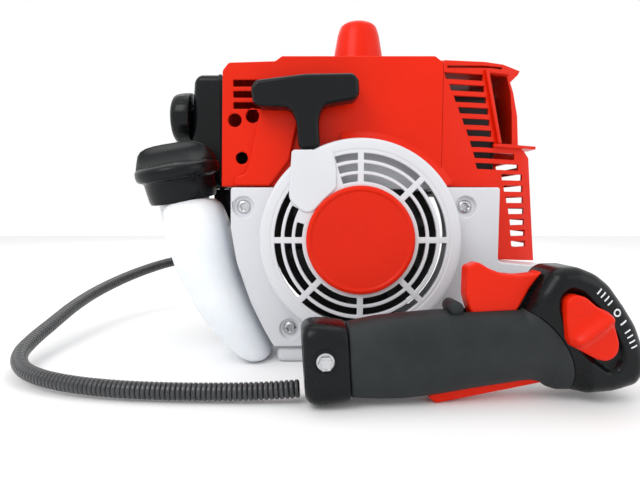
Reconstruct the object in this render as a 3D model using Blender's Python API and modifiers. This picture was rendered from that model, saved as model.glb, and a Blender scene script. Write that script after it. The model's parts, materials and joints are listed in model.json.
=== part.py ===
"""Power head of a portable petrol concrete vibrator with its corded control handle.

A single-cylinder two-stroke engine stands on a plastic foot.  Its recoil starter faces -Y, its
centrifugal clutch and output flange face +Y, the fuel tank and air filter are on the -X side and
the muffler is on the +X side.  A throttle handle lies on the floor in front of the engine, at the
end of a corrugated conduit that comes round from the back of the engine.  +Z is up and the origin
is on the floor, under the crankshaft.  Dimensions below are millimetres.
"""
import bpy
import bmesh
from math import sin, cos, pi, radians, hypot
from mathutils import Vector

MM = 0.001

# driving dimensions
CRANK_Z = 92.0            # height of the crankshaft
GAP = 0.3                 # clearance between pieces that touch
RING_R = 70.0             # starter drum, outside
RING_FRONT = -95.0        # front face of the starter drum
HOUSING_FRONT = -80.0     # front face of the starter housing's flange
HOUSING_BACK = -50.0
SKIN = 2.5                # wall of the plastic mouldings
SHROUD_FRONT = -74.0
SHROUD_BOTTOM = 129.8
SHROUD_TOP = 222.0
BORE_R = 19.3             # cylinder bore
STROKE = 32.0
INTAKE = (-5.0, 153.0)    # Y and Z of the intake tract
KNOB = (-12.0, 188.0)     # Y and Z of the air filter's screw
ROPE_R = 1.8
REEL_GROOVE = 30.7        # radius of the rope's centre line on the reel
ROPE_Y = -86.5
PULL_LEAN = radians(4)    # the rope leaves the drum leaning this far to -X
ROPE_EXIT = (-35.0, ROPE_Y, 151.8)
CONDUIT_R = 5.3
HANDLE_AT = (-38.0, -155.0, 26.4)
HANDLE_TURN = (0.0, radians(-3), radians(4))
GLAND_AT = (-117.0, 104.0, 63.0)
GLAND_YAW = radians(118.6)
CAP_AT = (-131.0, -60.0, 122.0)
CAP_TURN = (radians(8), radians(-9), 0.0)

for stale in list(bpy.data.objects):
    bpy.data.objects.remove(stale)


def collection(name):
    found = bpy.data.collections.new(name)
    bpy.context.scene.collection.children.link(found)
    return found


PARTS = collection("concrete_vibrator")
TOOLS = collection("cutters")


def material(name, rgb, rough, metal=0.0):
    made = bpy.data.materials.new(name)
    made.use_nodes = True
    shader = made.node_tree.nodes["Principled BSDF"]
    shader.inputs["Base Color"].default_value = (*rgb, 1.0)
    shader.inputs["Roughness"].default_value = rough
    shader.inputs["Metallic"].default_value = metal
    return made


RED = material("red_plastic", (0.78, 0.045, 0.012), 0.35)
WHITE = material("white_plastic", (0.80, 0.81, 0.83), 0.4)
TANK = material("tank_plastic", (0.82, 0.85, 0.88), 0.35)
BLACK = material("black_plastic", (0.022, 0.025, 0.027), 0.45)
GREY = material("grip_plastic", (0.05, 0.053, 0.057), 0.55)
RUBBER = material("black_rubber", (0.02, 0.02, 0.02), 0.7)
ALLOY = material("cast_aluminium", (0.55, 0.56, 0.57), 0.45, 0.9)
STEEL = material("steel", (0.45, 0.45, 0.46), 0.35, 1.0)
DARK = material("dark_steel", (0.08, 0.08, 0.085), 0.5, 0.8)
FOAM = material("filter_foam", (0.1, 0.1, 0.11), 0.95)
FUEL = material("fuel_hose", (0.75, 0.72, 0.5), 0.3)
ROPE = material("rope", (0.7, 0.7, 0.68), 0.8)
BRONZE = material("bronze", (0.5, 0.36, 0.2), 0.4, 1.0)

TURN = {"Z": (0, 0, 0), "Y": (-pi / 2, 0, 0), "-Y": (pi / 2, 0, 0), "X": (0, pi / 2, 0),
        "-X": (0, -pi / 2, 0)}


def add(name, data, look, at=(0, 0, 0), turn=(0, 0, 0), parent=None):
    """Place data as an object; one without a material is a tool that cuts or joins others."""
    ob = bpy.data.objects.new(name, data)
    (PARTS if look else TOOLS).objects.link(ob)
    ob.location = Vector(at) * MM
    ob.rotation_euler = TURN.get(turn, turn) if isinstance(turn, str) else turn
    ob.parent = parent
    if look:
        data.materials.clear()
        data.materials.append(look)
    else:
        ob.hide_render = True
        ob.display_type = "WIRE"
    return ob


def pivot(name, at, turn=(0, 0, 0), parent=None):
    """An empty on a joint's axis."""
    ob = bpy.data.objects.new(name, None)
    PARTS.objects.link(ob)
    ob.location = Vector(at) * MM
    ob.rotation_euler = turn
    ob.parent = parent
    return ob


def box(name, low, high, look=None, bevel=0.0, segments=2, parent=None):
    """A block between two corners, with its edges rounded if bevel is given."""
    low, high = Vector(low), Vector(high)
    made = bmesh.new()
    bmesh.ops.create_cube(made, size=1.0)
    for vert in made.verts:
        vert.co = Vector(c * s * MM for c, s in zip(vert.co, high - low))
    data = bpy.data.meshes.new(name)
    made.to_mesh(data)
    made.free()
    ob = add(name, data, look, (low + high) / 2, parent=parent)
    if bevel:
        round_edges(ob, bevel, segments)
    return ob


def round_edges(ob, width, segments=2, angle=35):
    edges = ob.modifiers.new("rounding", "BEVEL")
    edges.width = width * MM
    edges.segments = segments
    edges.limit_method = "ANGLE"
    edges.angle_limit = radians(angle)


def rod(name, radius, start, end, axis, look=None, sides=24, tip=None, parent=None):
    """A cylinder, or a cone with tip, whose base centre is start and whose length is end."""
    made = bmesh.new()
    bmesh.ops.create_cone(made, cap_ends=True, segments=sides, radius1=radius * MM,
                          radius2=(radius if tip is None else tip) * MM, depth=end * MM)
    for vert in made.verts:
        vert.co.z += end * MM / 2
    data = bpy.data.meshes.new(name)
    made.to_mesh(data)
    made.free()
    smooth(data)
    return add(name, data, look, start, axis, parent)


def smooth(data):
    data.shade_smooth()
    data.set_sharp_from_angle(angle=radians(35))


def turned(name, profile, at, axis, look=None, steps=24, parent=None):
    """A profile of (radius, height) turned about an axis.

    It runs down the outside; one that starts and ends at radius 0 is solid, and any other
    closes on itself up the inside.
    """
    data = bpy.data.meshes.new(name)
    last = len(profile) - 1
    edges = [(i, i + 1) for i in range(last)]
    if profile[0][0] > 0:
        edges.append((last, 0))
    data.from_pydata([(r * MM, 0, h * MM) for r, h in profile], edges, [])
    ob = add(name, data, look, at, axis, parent)
    lathe = ob.modifiers.new("lathe", "SCREW")
    lathe.axis = "Z"
    lathe.steps = lathe.render_steps = steps
    lathe.use_merge_vertices = True
    lathe.merge_threshold = 1e-6
    lathe.use_smooth_shade = False
    return ob


def prism(name, outlines, middle, thickness, look=None, plane="XZ", parent=None):
    """Closed outlines given in a plane and extruded along its normal; one in another is a hole.

    middle is the height of the slab's middle plane along the normal.
    """
    data = bpy.data.curves.new(name, "CURVE")
    data.dimensions = "2D"
    data.fill_mode = "BOTH"
    data.extrude = thickness * MM / 2
    for outline in outlines:
        spline = data.splines.new("POLY")
        spline.points.add(len(outline) - 1)
        for point, (x, y) in zip(spline.points, outline):
            point.co = (x * MM, y * MM, 0, 1)
        spline.use_cyclic_u = True
    at, turn = {"XZ": ((0, middle, 0), (pi / 2, 0, 0)), "XY": ((0, 0, middle), (0, 0, 0)),
                "YZ": ((middle, 0, 0), (pi / 2, 0, pi / 2))}[plane]
    return solid(name, data, look, at, turn, parent)


def solid(name, data, look, at=(0, 0, 0), turn=(0, 0, 0), parent=None):
    """A mesh object made of a curve's evaluated surface, with its caps welded."""
    curve = bpy.data.objects.new(name + "_curve", data)
    TOOLS.objects.link(curve)
    bpy.context.view_layer.update()
    seen = curve.evaluated_get(bpy.context.evaluated_depsgraph_get())
    mesh = bpy.data.meshes.new_from_object(seen)
    bpy.data.objects.remove(curve)
    made = bmesh.new()
    made.from_mesh(mesh)
    bmesh.ops.remove_doubles(made, verts=made.verts, dist=1e-6)
    bmesh.ops.dissolve_limit(made, angle_limit=radians(0.5), verts=made.verts, edges=made.edges)
    bmesh.ops.recalc_face_normals(made, faces=made.faces)
    made.to_mesh(mesh)
    made.free()
    mesh.name = name
    return add(name, mesh, look, at, turn, parent)


def hose(name, points, radius, look, sides=2, parent=None):
    """A round tube along a polyline, with flat ends."""
    data = bpy.data.curves.new(name, "CURVE")
    data.dimensions = "3D"
    data.bevel_depth = radius * MM
    data.bevel_resolution = sides
    data.use_fill_caps = True
    spline = data.splines.new("POLY")
    spline.points.add(len(points) - 1)
    for point, co in zip(spline.points, points):
        point.co = (*(Vector(co) * MM), 1)
    return solid(name, data, look, parent=parent)


def flow(route, count):
    """count points, evenly spaced, on a Catmull-Rom curve through the route's points."""
    pts = [Vector(p) for p in route]
    pts = [2 * pts[0] - pts[1]] + pts + [2 * pts[-1] - pts[-2]]
    fine = []
    for a, b, c, d in zip(pts, pts[1:], pts[2:], pts[3:]):
        for k in range(12):
            t = k / 12
            fine.append(0.5 * (2 * b + (c - a) * t + (2 * a - 5 * b + 4 * c - d) * t * t
                               + (3 * b - a - 3 * c + d) * t ** 3))
    fine.append(pts[-2])
    run = [0.0]
    for a, b in zip(fine, fine[1:]):
        run.append(run[-1] + (b - a).length)
    out, j = [], 0
    for i in range(count):
        want = run[-1] * i / (count - 1)
        while j < len(fine) - 2 and run[j + 1] < want:
            j += 1
        share = (want - run[j]) / (run[j + 1] - run[j])
        out.append(fine[j].lerp(fine[j + 1], min(share, 1.0)))
    return out


def combine(ob, operation, *tools):
    for tool in tools:
        step = ob.modifiers.new(tool.name, "BOOLEAN")
        step.operation = operation
        step.solver = "EXACT"
        step.object = tool
    return ob


def cut(ob, *tools):
    return combine(ob, "DIFFERENCE", *tools)


def join(ob, *tools):
    return combine(ob, "UNION", *tools)


def keep(ob, *tools):
    return combine(ob, "INTERSECT", *tools)


def circle(x, y, radius, sides=16):
    return [(x + radius * cos(2 * pi * k / sides), y + radius * sin(2 * pi * k / sides))
            for k in range(sides)]


def arc(x, y, radius, start, end, steps):
    return [(x + radius * cos(radians(start + (end - start) * k / steps)),
             y + radius * sin(radians(start + (end - start) * k / steps)))
            for k in range(steps + 1)]


def ring_slot(inner, outer, start, end, round_start=False, round_end=False, steps=5):
    """Outline of a slot between two radii round the crankshaft, with square or round ends."""
    mid, half = (inner + outer) / 2, (outer - inner) / 2
    out = arc(0, CRANK_Z, outer, start, end, steps)
    if round_end:
        ex, ey = arc(0, CRANK_Z, mid, end, end, 1)[0]
        out += arc(ex, ey, half, end + 30, end + 150, 3)
    out += arc(0, CRANK_Z, inner, end, start, steps)
    if round_start:
        ex, ey = arc(0, CRANK_Z, mid, start, start, 1)[0]
        out += arc(ex, ey, half, start + 210, start + 330, 3)
    return out


# ---- foot and crankcase ---------------------------------------------------------------------

foot = box("base_foot", (-60, -78, 0), (74, 56, 12), WHITE, bevel=4)

CASE = [(-48, 12.4), (48, 12.4), (48, 22), (38, 56), (42, 78), (42, 108), (31, 134), (-31, 134),
        (-42, 108), (-42, 78), (-38, 56), (-48, 22)]
throat = rod("throat", BORE_R + 0.3, (0, 0, 96), 42, "Z")
for side, name in ((-1, "crankcase_front"), (1, "crankcase_rear")):
    half = prism(name, [CASE], side * 17.1, 33.8, ALLOY)
    if side < 0:                                  # the fan plate, on four short pillars
        join(half, rod("fan_plate", 66, (0, -38, CRANK_Z), 2.7, "-Y", sides=40),
             *[rod("fan_pillar", 5, (x, -33, z), 6, "-Y", sides=12) for x, z in ((-30, 64), (30, 64), (-28, 118), (28, 118))])
    cut(half, throat, turned(name + "_chamber", [(0, 42), (16, 42), (16, 36), (7.6, 36), (7.6, 27), (13.2, 27), (13.2, 16), (29.5, 16),
                                                 (29.5, -1), (0, -1)], (0, 0, CRANK_Z), "Y" if side > 0 else "-Y"))

for name, y in (("front_bearing", -26.7), ("rear_bearing", 16.4)):
    turned(name, [(12.9, 10.3), (12.9, 0), (6.3, 0), (6.3, 10.3)], (0, y, CRANK_Z), "Y", STEEL, steps=16)

# ---- cylinder and plug ------------------------------------------------------------------------

fins = [(6.4, 204.0), (37.5, 204.0)]
for k in range(5):
    fins += [(37.5, 200.5 - 12 * k), (24, 200.5 - 12 * k), (24, 192 - 12 * k), (37.5, 192 - 12 * k)]
fins = fins[:-1] + [(30, 141), (30, 134 + GAP), (BORE_R, 134 + GAP), (BORE_R, 189), (6.4, 197)]
cylinder = turned("cylinder", fins, (0, 0, 0), "Z", ALLOY, steps=20)
join(cylinder, box("exhaust_flange", (21, -15, 146), (41, 15, 174)),
     box("intake_flange", (-48, -18, 141), (-21, 8, 165)))
cut(cylinder, rod("exhaust_port", 8.5, (10, 0, 160), 40, "X", sides=16),
    rod("intake_port", 8, (-10, *INTAKE), 45, "-X", sides=16))

turned("spark_plug", [(0, 252), (2.5, 252), (2.5, 246.5), (5, 246), (5, 222), (9.3, 219),
                      (9.3, 208), (7.6, 207), (7.6, 204 + GAP), (5.9, 204 + GAP), (5.9, 192),
                      (0, 192)], (0, 0, 0), "Z", STEEL, steps=12)
turned("plug_boot", [(0, 259), (6, 259), (8.5, 256), (8.5, 228), (5.5, 228), (5.5, 252.7),
                     (0, 252.7)], (0, 0, 0), "Z", RUBBER, steps=12)
turned("plug_cover", [(0, 268), (10.5, 267.5), (15, 264.5), (17.6, 258), (20, 243), (23, SHROUD_TOP + GAP),
                      (20.6, SHROUD_TOP + GAP), (17.7, 243), (15.4, 257), (13, 262.5), (9.5, 265),
                      (0, 265.3)], (4, -5, 0), "Z", RED, steps=20)

# ---- crank train --------------------------------------------------------------------------------

crank = pivot("crank_axis", (0, 0, CRANK_Z))
turned("crankshaft_front", [(0, 68), (4, 68), (4, 60), (6, 59.5), (6, 14.2), (27, 14.2), (27, 6.6), (0, 6.6)],
       (0, 0, 0), "-Y", STEEL, steps=20, parent=crank)
turned("crankshaft_rear", [(0, 53), (6, 53), (6, 14.2), (27, 14.2), (27, 6.6), (0, 6.6)],
       (0, 0, 0), "Y", STEEL, steps=20, parent=crank)

blades = []
for k in range(10):
    a = 360 / 10 * k
    blades += arc(0, 0, 29, a, a + 19, 1) + arc(0, 0, 52, a + 9, a + 16, 1)
flywheel = turned("flywheel", [(50, 58), (50, 44), (44, 44), (44, 52), (16, 52), (14, 40), (6.3, 40), (6.3, 58)],
                  (0, 0, 0), "-Y", ALLOY, steps=20, parent=crank)
join(flywheel, cut(prism("fan_blades", [blades], -63, 11, parent=crank),
                   rod("fan_eye", 28, (0, -56, 0), 20, "-Y", parent=crank)))
box("starter_pawl", (19.5, -66.5, -6), (25.5, -58 - GAP, 7), STEEL, parent=crank)

stroke = pivot("piston_axis", (0, 0, CRANK_Z + STROKE / 2))
turned("piston", [(0, 74), (18.6, 74), (18.6, 44), (16.2, 44), (16.2, 68), (0, 68)], (0, 0, 0), "Z", ALLOY,
       steps=20, parent=stroke)
conrod = prism("connecting_rod", [circle(0, 0, 8, 16)], 0, 12, STEEL, parent=stroke)
join(conrod, box("rod_shank", (-3.5, -3, 4), (3.5, 3, 58), parent=stroke),
     rod("small_end", 6.5, (0, -5, 59), 10, "Y", sides=16, parent=stroke))

# ---- clutch and output -------------------------------------------------------------------------

turned("clutch_hub", [(13, 52.5), (13, 38), (6.3, 38), (6.3, 52.5)], (0, 0, 0), "Y", STEEL, steps=16, parent=crank)
for k in range(2):
    a = 180 * k
    prism("clutch_shoe_%d" % (k + 1), [arc(0, 0, 34, a + 8, a + 172, 10) + arc(0, 0, 14, a + 165, a + 15, 6)],
          45.5, 13, DARK, parent=crank)
drive = pivot("output_axis", (0, 0, CRANK_Z))
drum = turned("clutch_drum", [(0, 82), (9, 82), (9, 60), (38, 60), (38, 38), (36, 38), (36, 57),
                              (0, 57)], (0, 0, 0), "Y", STEEL, steps=24, parent=drive)
cut(drum, box("drive_square", (-4, 62, -4), (4, 84, 4), parent=drive))
turned("output_bearing", [(16, 74), (16, 65), (9 + GAP, 65), (9 + GAP, 74)], (0, 0, CRANK_Z), "Y", STEEL, steps=16)
bell = turned("clutch_housing", [(46, 86), (46, 78), (30, 71), (44, 62), (44, 34.5), (40, 34.5), (40, 62),
                                 (22, 64.5), (16.3, 64.5), (16.3, 74.3), (14, 74.3), (14, 86)],
              (0, 0, CRANK_Z), "Y", ALLOY, steps=24)
cut(bell, prism("flange_bolts", [circle(x, CRANK_Z + z, 3.3, 8) for x in (-27, 27) for z in (-27, 27)], 82, 14))

# ---- starter housing ---------------------------------------------------------------------------

FLANGE = [(-92, 129), (-92.5, 100), (-88.5, 75), (-78.5, 45), (-69, 25), (-62, 12.6), (66, 12.6),
          (72, 25), (84, 45), (95, 62), (139, 62), (143, 71.4), (101, 75), (101, 129)]
INNER = [(-89.5, 126.5), (-90, 101), (-86, 76), (-76, 46), (-66.5, 26.5), (-60.5, 15.2), (64.5, 15.2),
         (70, 26.5), (82, 46.5), (93.8, 64.5), (98.5, 72), (98.5, 126.5)]
housing = prism("starter_housing", [FLANGE], (HOUSING_FRONT + HOUSING_BACK) / 2,
                HOUSING_BACK - HOUSING_FRONT, WHITE)
join(housing, rod("drum", RING_R, (0, HOUSING_BACK, CRANK_Z), HOUSING_BACK - RING_FRONT, "-Y", sides=40))
cut(housing, prism("housing_hollow", [INNER], (HOUSING_FRONT + SKIN + HOUSING_BACK + 1) / 2,
                   HOUSING_BACK + 1 - HOUSING_FRONT - SKIN),
    rod("drum_hollow", RING_R - SKIN - 0.2, (0, HOUSING_BACK + 1, CRANK_Z),
        HOUSING_BACK + 1 - RING_FRONT - SKIN, "-Y", sides=40))
SCREWS = {"1": (-83, 115), "2": (76.5, 115), "3": (-50, 26), "4": (50, 26)}
bosses = prism("screw_bosses", [circle(x, z, 9, 10) for x, z in SCREWS.values()], -68, 22)
join(housing, bosses, rod("reel_post", 6, (0, -73.5, CRANK_Z), 20, "-Y", sides=16))
rope_boss = prism("rope_boss", [arc(0, CRANK_Z, 39, 148, 105, 4)
                                + [(-20, 150), (-21.5, 153.9), (-46, 153.9), (-49, 149.5), (-52, 118)]],
                  -94.8, 3.2)
join(housing, rope_boss, box("rope_block", (-45, -97, 141), (-20, -76.5, 153.2)))
cut(housing, prism("screw_heads", [circle(x, z, 7.4, 12) for x, z in SCREWS.values()], -80, 6),
    prism("screw_holes", [circle(x, z, 2.9, 6) for x, z in SCREWS.values()], -68, 40),
    rod("post_thread", 2.4, (0, -72, CRANK_Z), 15, "-Y", sides=8))
slots = []
for inner, outer in ((40.5, 45.4), (47.7, 52.8), (55.2, 59.8)):
    web = 2.2 / outer * 57.3
    slots += [ring_slot(inner, outer, a + web, a + 45 - web, steps=3) for a in (-90, -45, 0, 45, 180, 225)]
    slots.append(ring_slot(inner, outer, 90 + web, 104, round_end=True, steps=2))
for inner, outer, end in ((40.5, 45.4, 164), (47.7, 52.8, 153), (55.2, 59.8, 145)):
    slots.append(ring_slot(inner, outer, end, 180 - 2.2 / outer * 57.3, round_start=True, steps=3))
pull = pivot("pull_axis", ROPE_EXIT, (0, -PULL_LEAN, 0))
cut(housing, box("grip_recess", (-53, -102, 153.2), (-21.5, -74.3, 175)), prism("grille", [s for s in slots], RING_FRONT, 12),
    rod("rope_hole", 4.2, (0, 0, -16), 30, "Z", sides=12, parent=pull))

turned("centre_badge", [(0, 97.4), (33.5, 97.4), (34.5, 98), (36, 98), (37.4, 96.8), (37.4, 95 + GAP), (0, 95 + GAP)],
       (0, 0, CRANK_Z), "-Y", RED, steps=32)
for key, (x, z) in SCREWS.items():
    turned("starter_screw_" + key, [(0, 81.3), (3.6, 81.3), (5, 80.3), (5, 77 + GAP), (2.5, 77 + GAP),
                                           (2.5, 58.5), (0, 58.5)], (x, 0, z), "-Y", STEEL, steps=8)
turned("rope_bushing", [(5.4, 2.6), (5.4, 2.1), (3.8, 2.1), (3.8, -8), (2.5, -8), (2.5, 2.6)], (0, 0, 0), "Z", STEEL,
       steps=10, parent=pull)

# ---- recoil starter ------------------------------------------------------------------------------

reel_axis = pivot("reel_axis", (0, 0, CRANK_Z))
turned("rope_reel", [(34, 91.3), (34, 89.3), (28.7, 89.3), (28.7, 83.7), (34, 83.7), (34, 81.8), (17, 81.8),
                     (17, 68), (14, 68), (14, 79), (6 + GAP, 79), (6 + GAP, 92), (11, 92), (11, 87),
                     (25, 87), (25, 91.3)], (0, 0, 0), "-Y", BLACK, steps=20, parent=reel_axis)
turned("reel_screw", [(0, 73.2), (7.4, 73.2), (7.4, 71), (0, 71)], (0, 0, CRANK_Z), "-Y", STEEL, steps=12)
coils = []
for k in range(37):
    r = 12.2 + 11.6 * k / 36
    coils.append((r * cos(k * pi / 6), r * sin(k * pi / 6)))
back = [((hypot(x, z) + 0.8) / hypot(x, z) * x, (hypot(x, z) + 0.8) / hypot(x, z) * z)
        for x, z in reversed(coils)]
prism("recoil_spring", [coils + back], 0, 4, STEEL).location = Vector((0, -89.6, CRANK_Z)) * MM

grip = prism("starter_grip", [[(-7.3, 3), (7.3, 3), (8.2, 22), (13, 31.5), (34, 34), (36, 38),
                               (36, 47), (33.5, 51), (0, 52.5), (-33.5, 51), (-36, 47), (-36, 38),
                               (-34, 34), (-13, 31.5), (-8.2, 22)]], 0, 18, BLACK, parent=pull)
round_edges(grip, 3, 2, 50)
cut(grip, rod("grip_hole", 2.5, (0, 0, 0), 46, "Z", sides=12, parent=pull),
    rod("knot_pocket", 5.4, (0, 0, 42), 14, "Z", sides=12, parent=pull))
turned("starter_rope", [(0, 50), (3, 49.6), (4.6, 47.5), (4.6, 44.5), (3, 42.4), (ROPE_R, 42.2), (ROPE_R, -44),
                        (0, -44)], (0, 0, 0), "Z", ROPE, steps=10, parent=pull)

coil_body = box("ignition_coil", (-13, -62, 146), (13, -41, 156.5), DARK, bevel=1.5, segments=1)
hose("ignition_lead", flow([(8, -46, 157), (8, -46, 166), (9, -45, 200), (8, -36, 209), (6.5, -20, 211.5),
                            (5.2, -12, 217), (4.6, -11.2, 224), (4.2, -11.1, 232), (4.2, -11.2, 240)], 14), 2.2, RUBBER, sides=1)

# ---- engine shroud and plug ------------------------------------------------------------------------

shroud = prism("engine_shroud", [[(-99.5, SHROUD_BOTTOM), (-97.5, 212), (-93, 217.5), (-60, 218.5),
                                  (-55, SHROUD_TOP), (54, SHROUD_TOP), (58, 219), (60, 219),
                                  (60, SHROUD_BOTTOM)]], (SHROUD_FRONT + 44) / 2, 44 - SHROUD_FRONT, RED)
round_edges(shroud, 2.5, 2, 60)
cut(shroud, prism("shroud_hollow", [[(-96.9, 100), (-95, 211), (-91.5, 215), (-59, 216), (-54, 219.5),
                                     (53, 219.5), (57, 216.5), (61, 216.5), (61, 100)]],
                  (SHROUD_FRONT + SKIN + 41.5) / 2, 41.5 - SHROUD_FRONT - SKIN),
    rod("drum_clearance", RING_R + 0.5, (0, -49, CRANK_Z), 30, "-Y", sides=48),
    rod("clutch_clearance", 47, (0, 40, CRANK_Z), 10, "Y"),
    rod("plug_hole", 16, (0, 0, 215), 12, "Z"),
    rod("intake_hole", 12.7, (-110, INTAKE[0], INTAKE[1]), 20, "X", sides=16),
    box("corner_open", (58, -80, 100), (62, 41.5, 216.5)))
vents = [[(-88, z - 2.3), (-56, z - 2.3), (-55, z + 2.3), (-88, z + 2.3)] for z in (203, 195.4, 187.8)]
vents += [circle(-89.5, 177, 4.3, 12), circle(-76, 180, 4.3, 12), circle(-84.4, 150.3, 4.1, 12)]
outlets = [[(-36, z - 2.5), (36, z - 2.5), (36, z + 2.5), (-36, z + 2.5)] for z in (206, 196, 186, 176, 166, 156)]
cut(shroud, prism("front_vents", vents, SHROUD_FRONT, 12), prism("back_vents", outlets, 43, 12))

GUARD = [(60 + GAP, 129.8), (60 + GAP, 219.4), (108, 220.4), (123.6, 217.6), (122, 214.6), (115, 208.2), (118.2, 201),
         (122.6, 184), (124.4, 161.4), (130.5, 158), (135.4, 152.9), (138.5, 127), (142.2, 94), (145, 71.8), (101.5, 75.4),
         (101.5, 129.8)]
PLAN = [(60 + GAP, -73), (92, -66), (128, -48), (146, -36), (146, 44), (60 + GAP, 44)]
guard = prism("muffler_guard", [GUARD], -14, 120, RED)
keep(guard, prism("guard_plan", [PLAN], 145, 200, plane="XY"))
hollow = prism("guard_hollow", [[(59, 100), (59, 216.8), (107, 217.7), (113.4, 216), (112.2, 209), (115.4, 201), (119.9, 184),
                                 (121.6, 159.4), (129, 155.6), (132.9, 151.4), (135.9, 127), (139.6, 94), (142.4, 70),
                                 (142.4, 60), (104, 60), (104, 100)]], -14, 130)
keep(hollow, prism("hollow_plan", [[(59, -70), (91, -63.4), (126.6, -45.6), (143, -34.6), (143, 41.5),
                                    (59, 41.5)]], 145, 210, plane="XY"))
cut(guard, hollow)
lefts = (62.2, 66.2, 70, 73.4, 76.8, 80.2, 83.2, 86, 88)
rights = (90.7, 92, 93.9, 96, 97.4, 99.3, 102.1, 121, 125)
louvres = [[(a, 206.5 - 7.95 * k), (b, 206.5 - 7.95 * k), (b, 211.1 - 7.95 * k), (a - 1.6, 211.1 - 7.95 * k)]
           for k, (a, b) in enumerate(zip(lefts, rights))]
louvres += [[(a + 0.8, 135.3 - 8.6 * k), (129.3 + k, 135.3 - 8.6 * k), (129.3 + k, 140 - 8.6 * k), (a, 140 - 8.6 * k)]
            for k, a in enumerate((109.5, 111.8, 114.4, 116.7, 118.6, 119.4, 120.6))]
louvres.append([(63, 214.2), (107, 216.6), (107, 218.3), (63, 216)])
louvres.append([(95.1, 212.2), (111.6, 212.4), (115.6, 201), (117.6, 184), (118.6, 162.6), (107.8, 162.6)])
outlets = [[(-33, z - 2.5), (30, z - 2.5), (30, z + 2.5), (-33, z + 2.5)]
           for z in (82.6, 92, 101.4, 110.8, 120.2, 129.6, 139, 149.4)]
back = [[(74, z - 2.5), (112, z - 2.5), (112, z + 2.5), (74, z + 2.5)] for z in range(144, 208, 10)]
cut(guard, prism("guard_louvres", [louvres[-1]] + louvres[:-1], -60, 62), prism("side_vents", outlets, 132, 40, plane="YZ"),
    prism("guard_back_vents", back, 43, 12))
join(guard, prism("guard_ledge", [[(101, -63.6), (104, -63.9), (127, -52.5), (139.6, -46), (139.6, -30), (123, -30), (123, -49),
                                   (101, -60.2)]], 160.6, 2.2, plane="XY"))

# ---- muffler and intake -----------------------------------------------------------------------------

muffler = box("muffler", (41 + GAP, -37, 124), (112, 34, 204), STEEL, bevel=6)
shell = muffler.modifiers.new("wall", "SOLIDIFY")
shell.thickness = 1.6 * MM
shell.offset = -1.0
cut(muffler, rod("muffler_inlet", 8.5, (38, 0, 160), 10, "X", sides=16),
    rod("muffler_outlet", 7, (100, 10, 185), 20, "X", sides=16))
carb = box("carburettor", (-74, -20, 139), (-48 - GAP, 10, 167), ALLOY, bevel=2, segments=1)
cut(carb, rod("venturi", 8.5, (-80, INTAKE[0], INTAKE[1]), 40, "X", sides=16),
    rod("shaft_bore", 2, (-61, INTAKE[0], 130), 50, "Z", sides=8),
    rod("primer_seat", 8.4, (-61, 2.8, 152), 12, "Y", sides=16))
throttle = pivot("throttle_axis", (-61, INTAKE[0], INTAKE[1]))
flap = rod("carb_throttle", 1.6, (0, 0, -16.5), 39, "Z", STEEL, sides=8, parent=throttle)
join(flap, rod("butterfly", 7.6, (-0.7, 0, 0), 1.4, "X", sides=16, parent=throttle),
     box("throttle_arm", (-3, -4, 19), (3, 18, 22), parent=throttle))
primer = turned("primer_bulb", [(0, 20), (4.5, 19), (7, 16.5), (8, 12), (8, 5.6), (6.5, 5.6), (6.5, 12),
                                (5, 16), (0, 18)], (-61, 0, 152), "Y", RUBBER, steps=16)

base = box("air_filter_base", (-104, -26, 133), (-100.3, 46, 218.5), BLACK)
join(base, box("base_apron", (-104, -19, 84), (-100.3, 44, 134)), box("apron_return", (-116.6, -19, 84), (-100.3, -16, 129.6)), rod("intake_tube", 12, (-102, INTAKE[0], INTAKE[1]), 102 - 74 - GAP, "X", sides=20))
cut(base, rod("tube_bore", 9, (-110, INTAKE[0], INTAKE[1]), 40, "X", sides=20),
    rod("base_screw_hole", 3.4, (-110, *KNOB), 12, "X", sides=8),
    rod("choke_bore", 2, (-87, INTAKE[0], 120), 50, "Z", sides=8),
    box("choke_slot", (-112, -13, 120.3), (-99, 23, 127.2)))
choke = pivot("choke_axis", (-87, INTAKE[0], INTAKE[1]))
plate = rod("choke_lever", 1.6, (0, 0, -29), 42, "Z", STEEL, sides=8, parent=choke)
join(plate, rod("choke_plate", 8, (-0.7, 0, 0), 1.4, "X", sides=16, parent=choke),
     box("choke_arm", (-3, -4, -31), (3, 24, -28), parent=choke))
cut(box("air_filter_element", (-124, -22, 139), (-104 - GAP, 42, 209), FOAM),
    rod("element_hole", 4, (-130, *KNOB), 40, "X", sides=8))
cover = box("air_filter_cover", (-136, -28.5, 130), (-104 - GAP, 48.5, 221.5), BLACK, bevel=7, segments=3)
cut(cover, box("cover_hollow", (-133.5, -26, 132.5), (-100, 46, 219)),
    rod("cover_hole", 3.5, (-138, *KNOB), 12, "X", sides=8))
turned("filter_knob", [(0, 149.5), (13, 149.5), (18, 148), (21, 143.5), (21.5, 136 + GAP), (3, 136 + GAP),
                       (3, 101), (0, 101)], (0, *KNOB), "-X", BLACK, steps=24)

# ---- fuel tank ------------------------------------------------------------------------------------------

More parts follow.
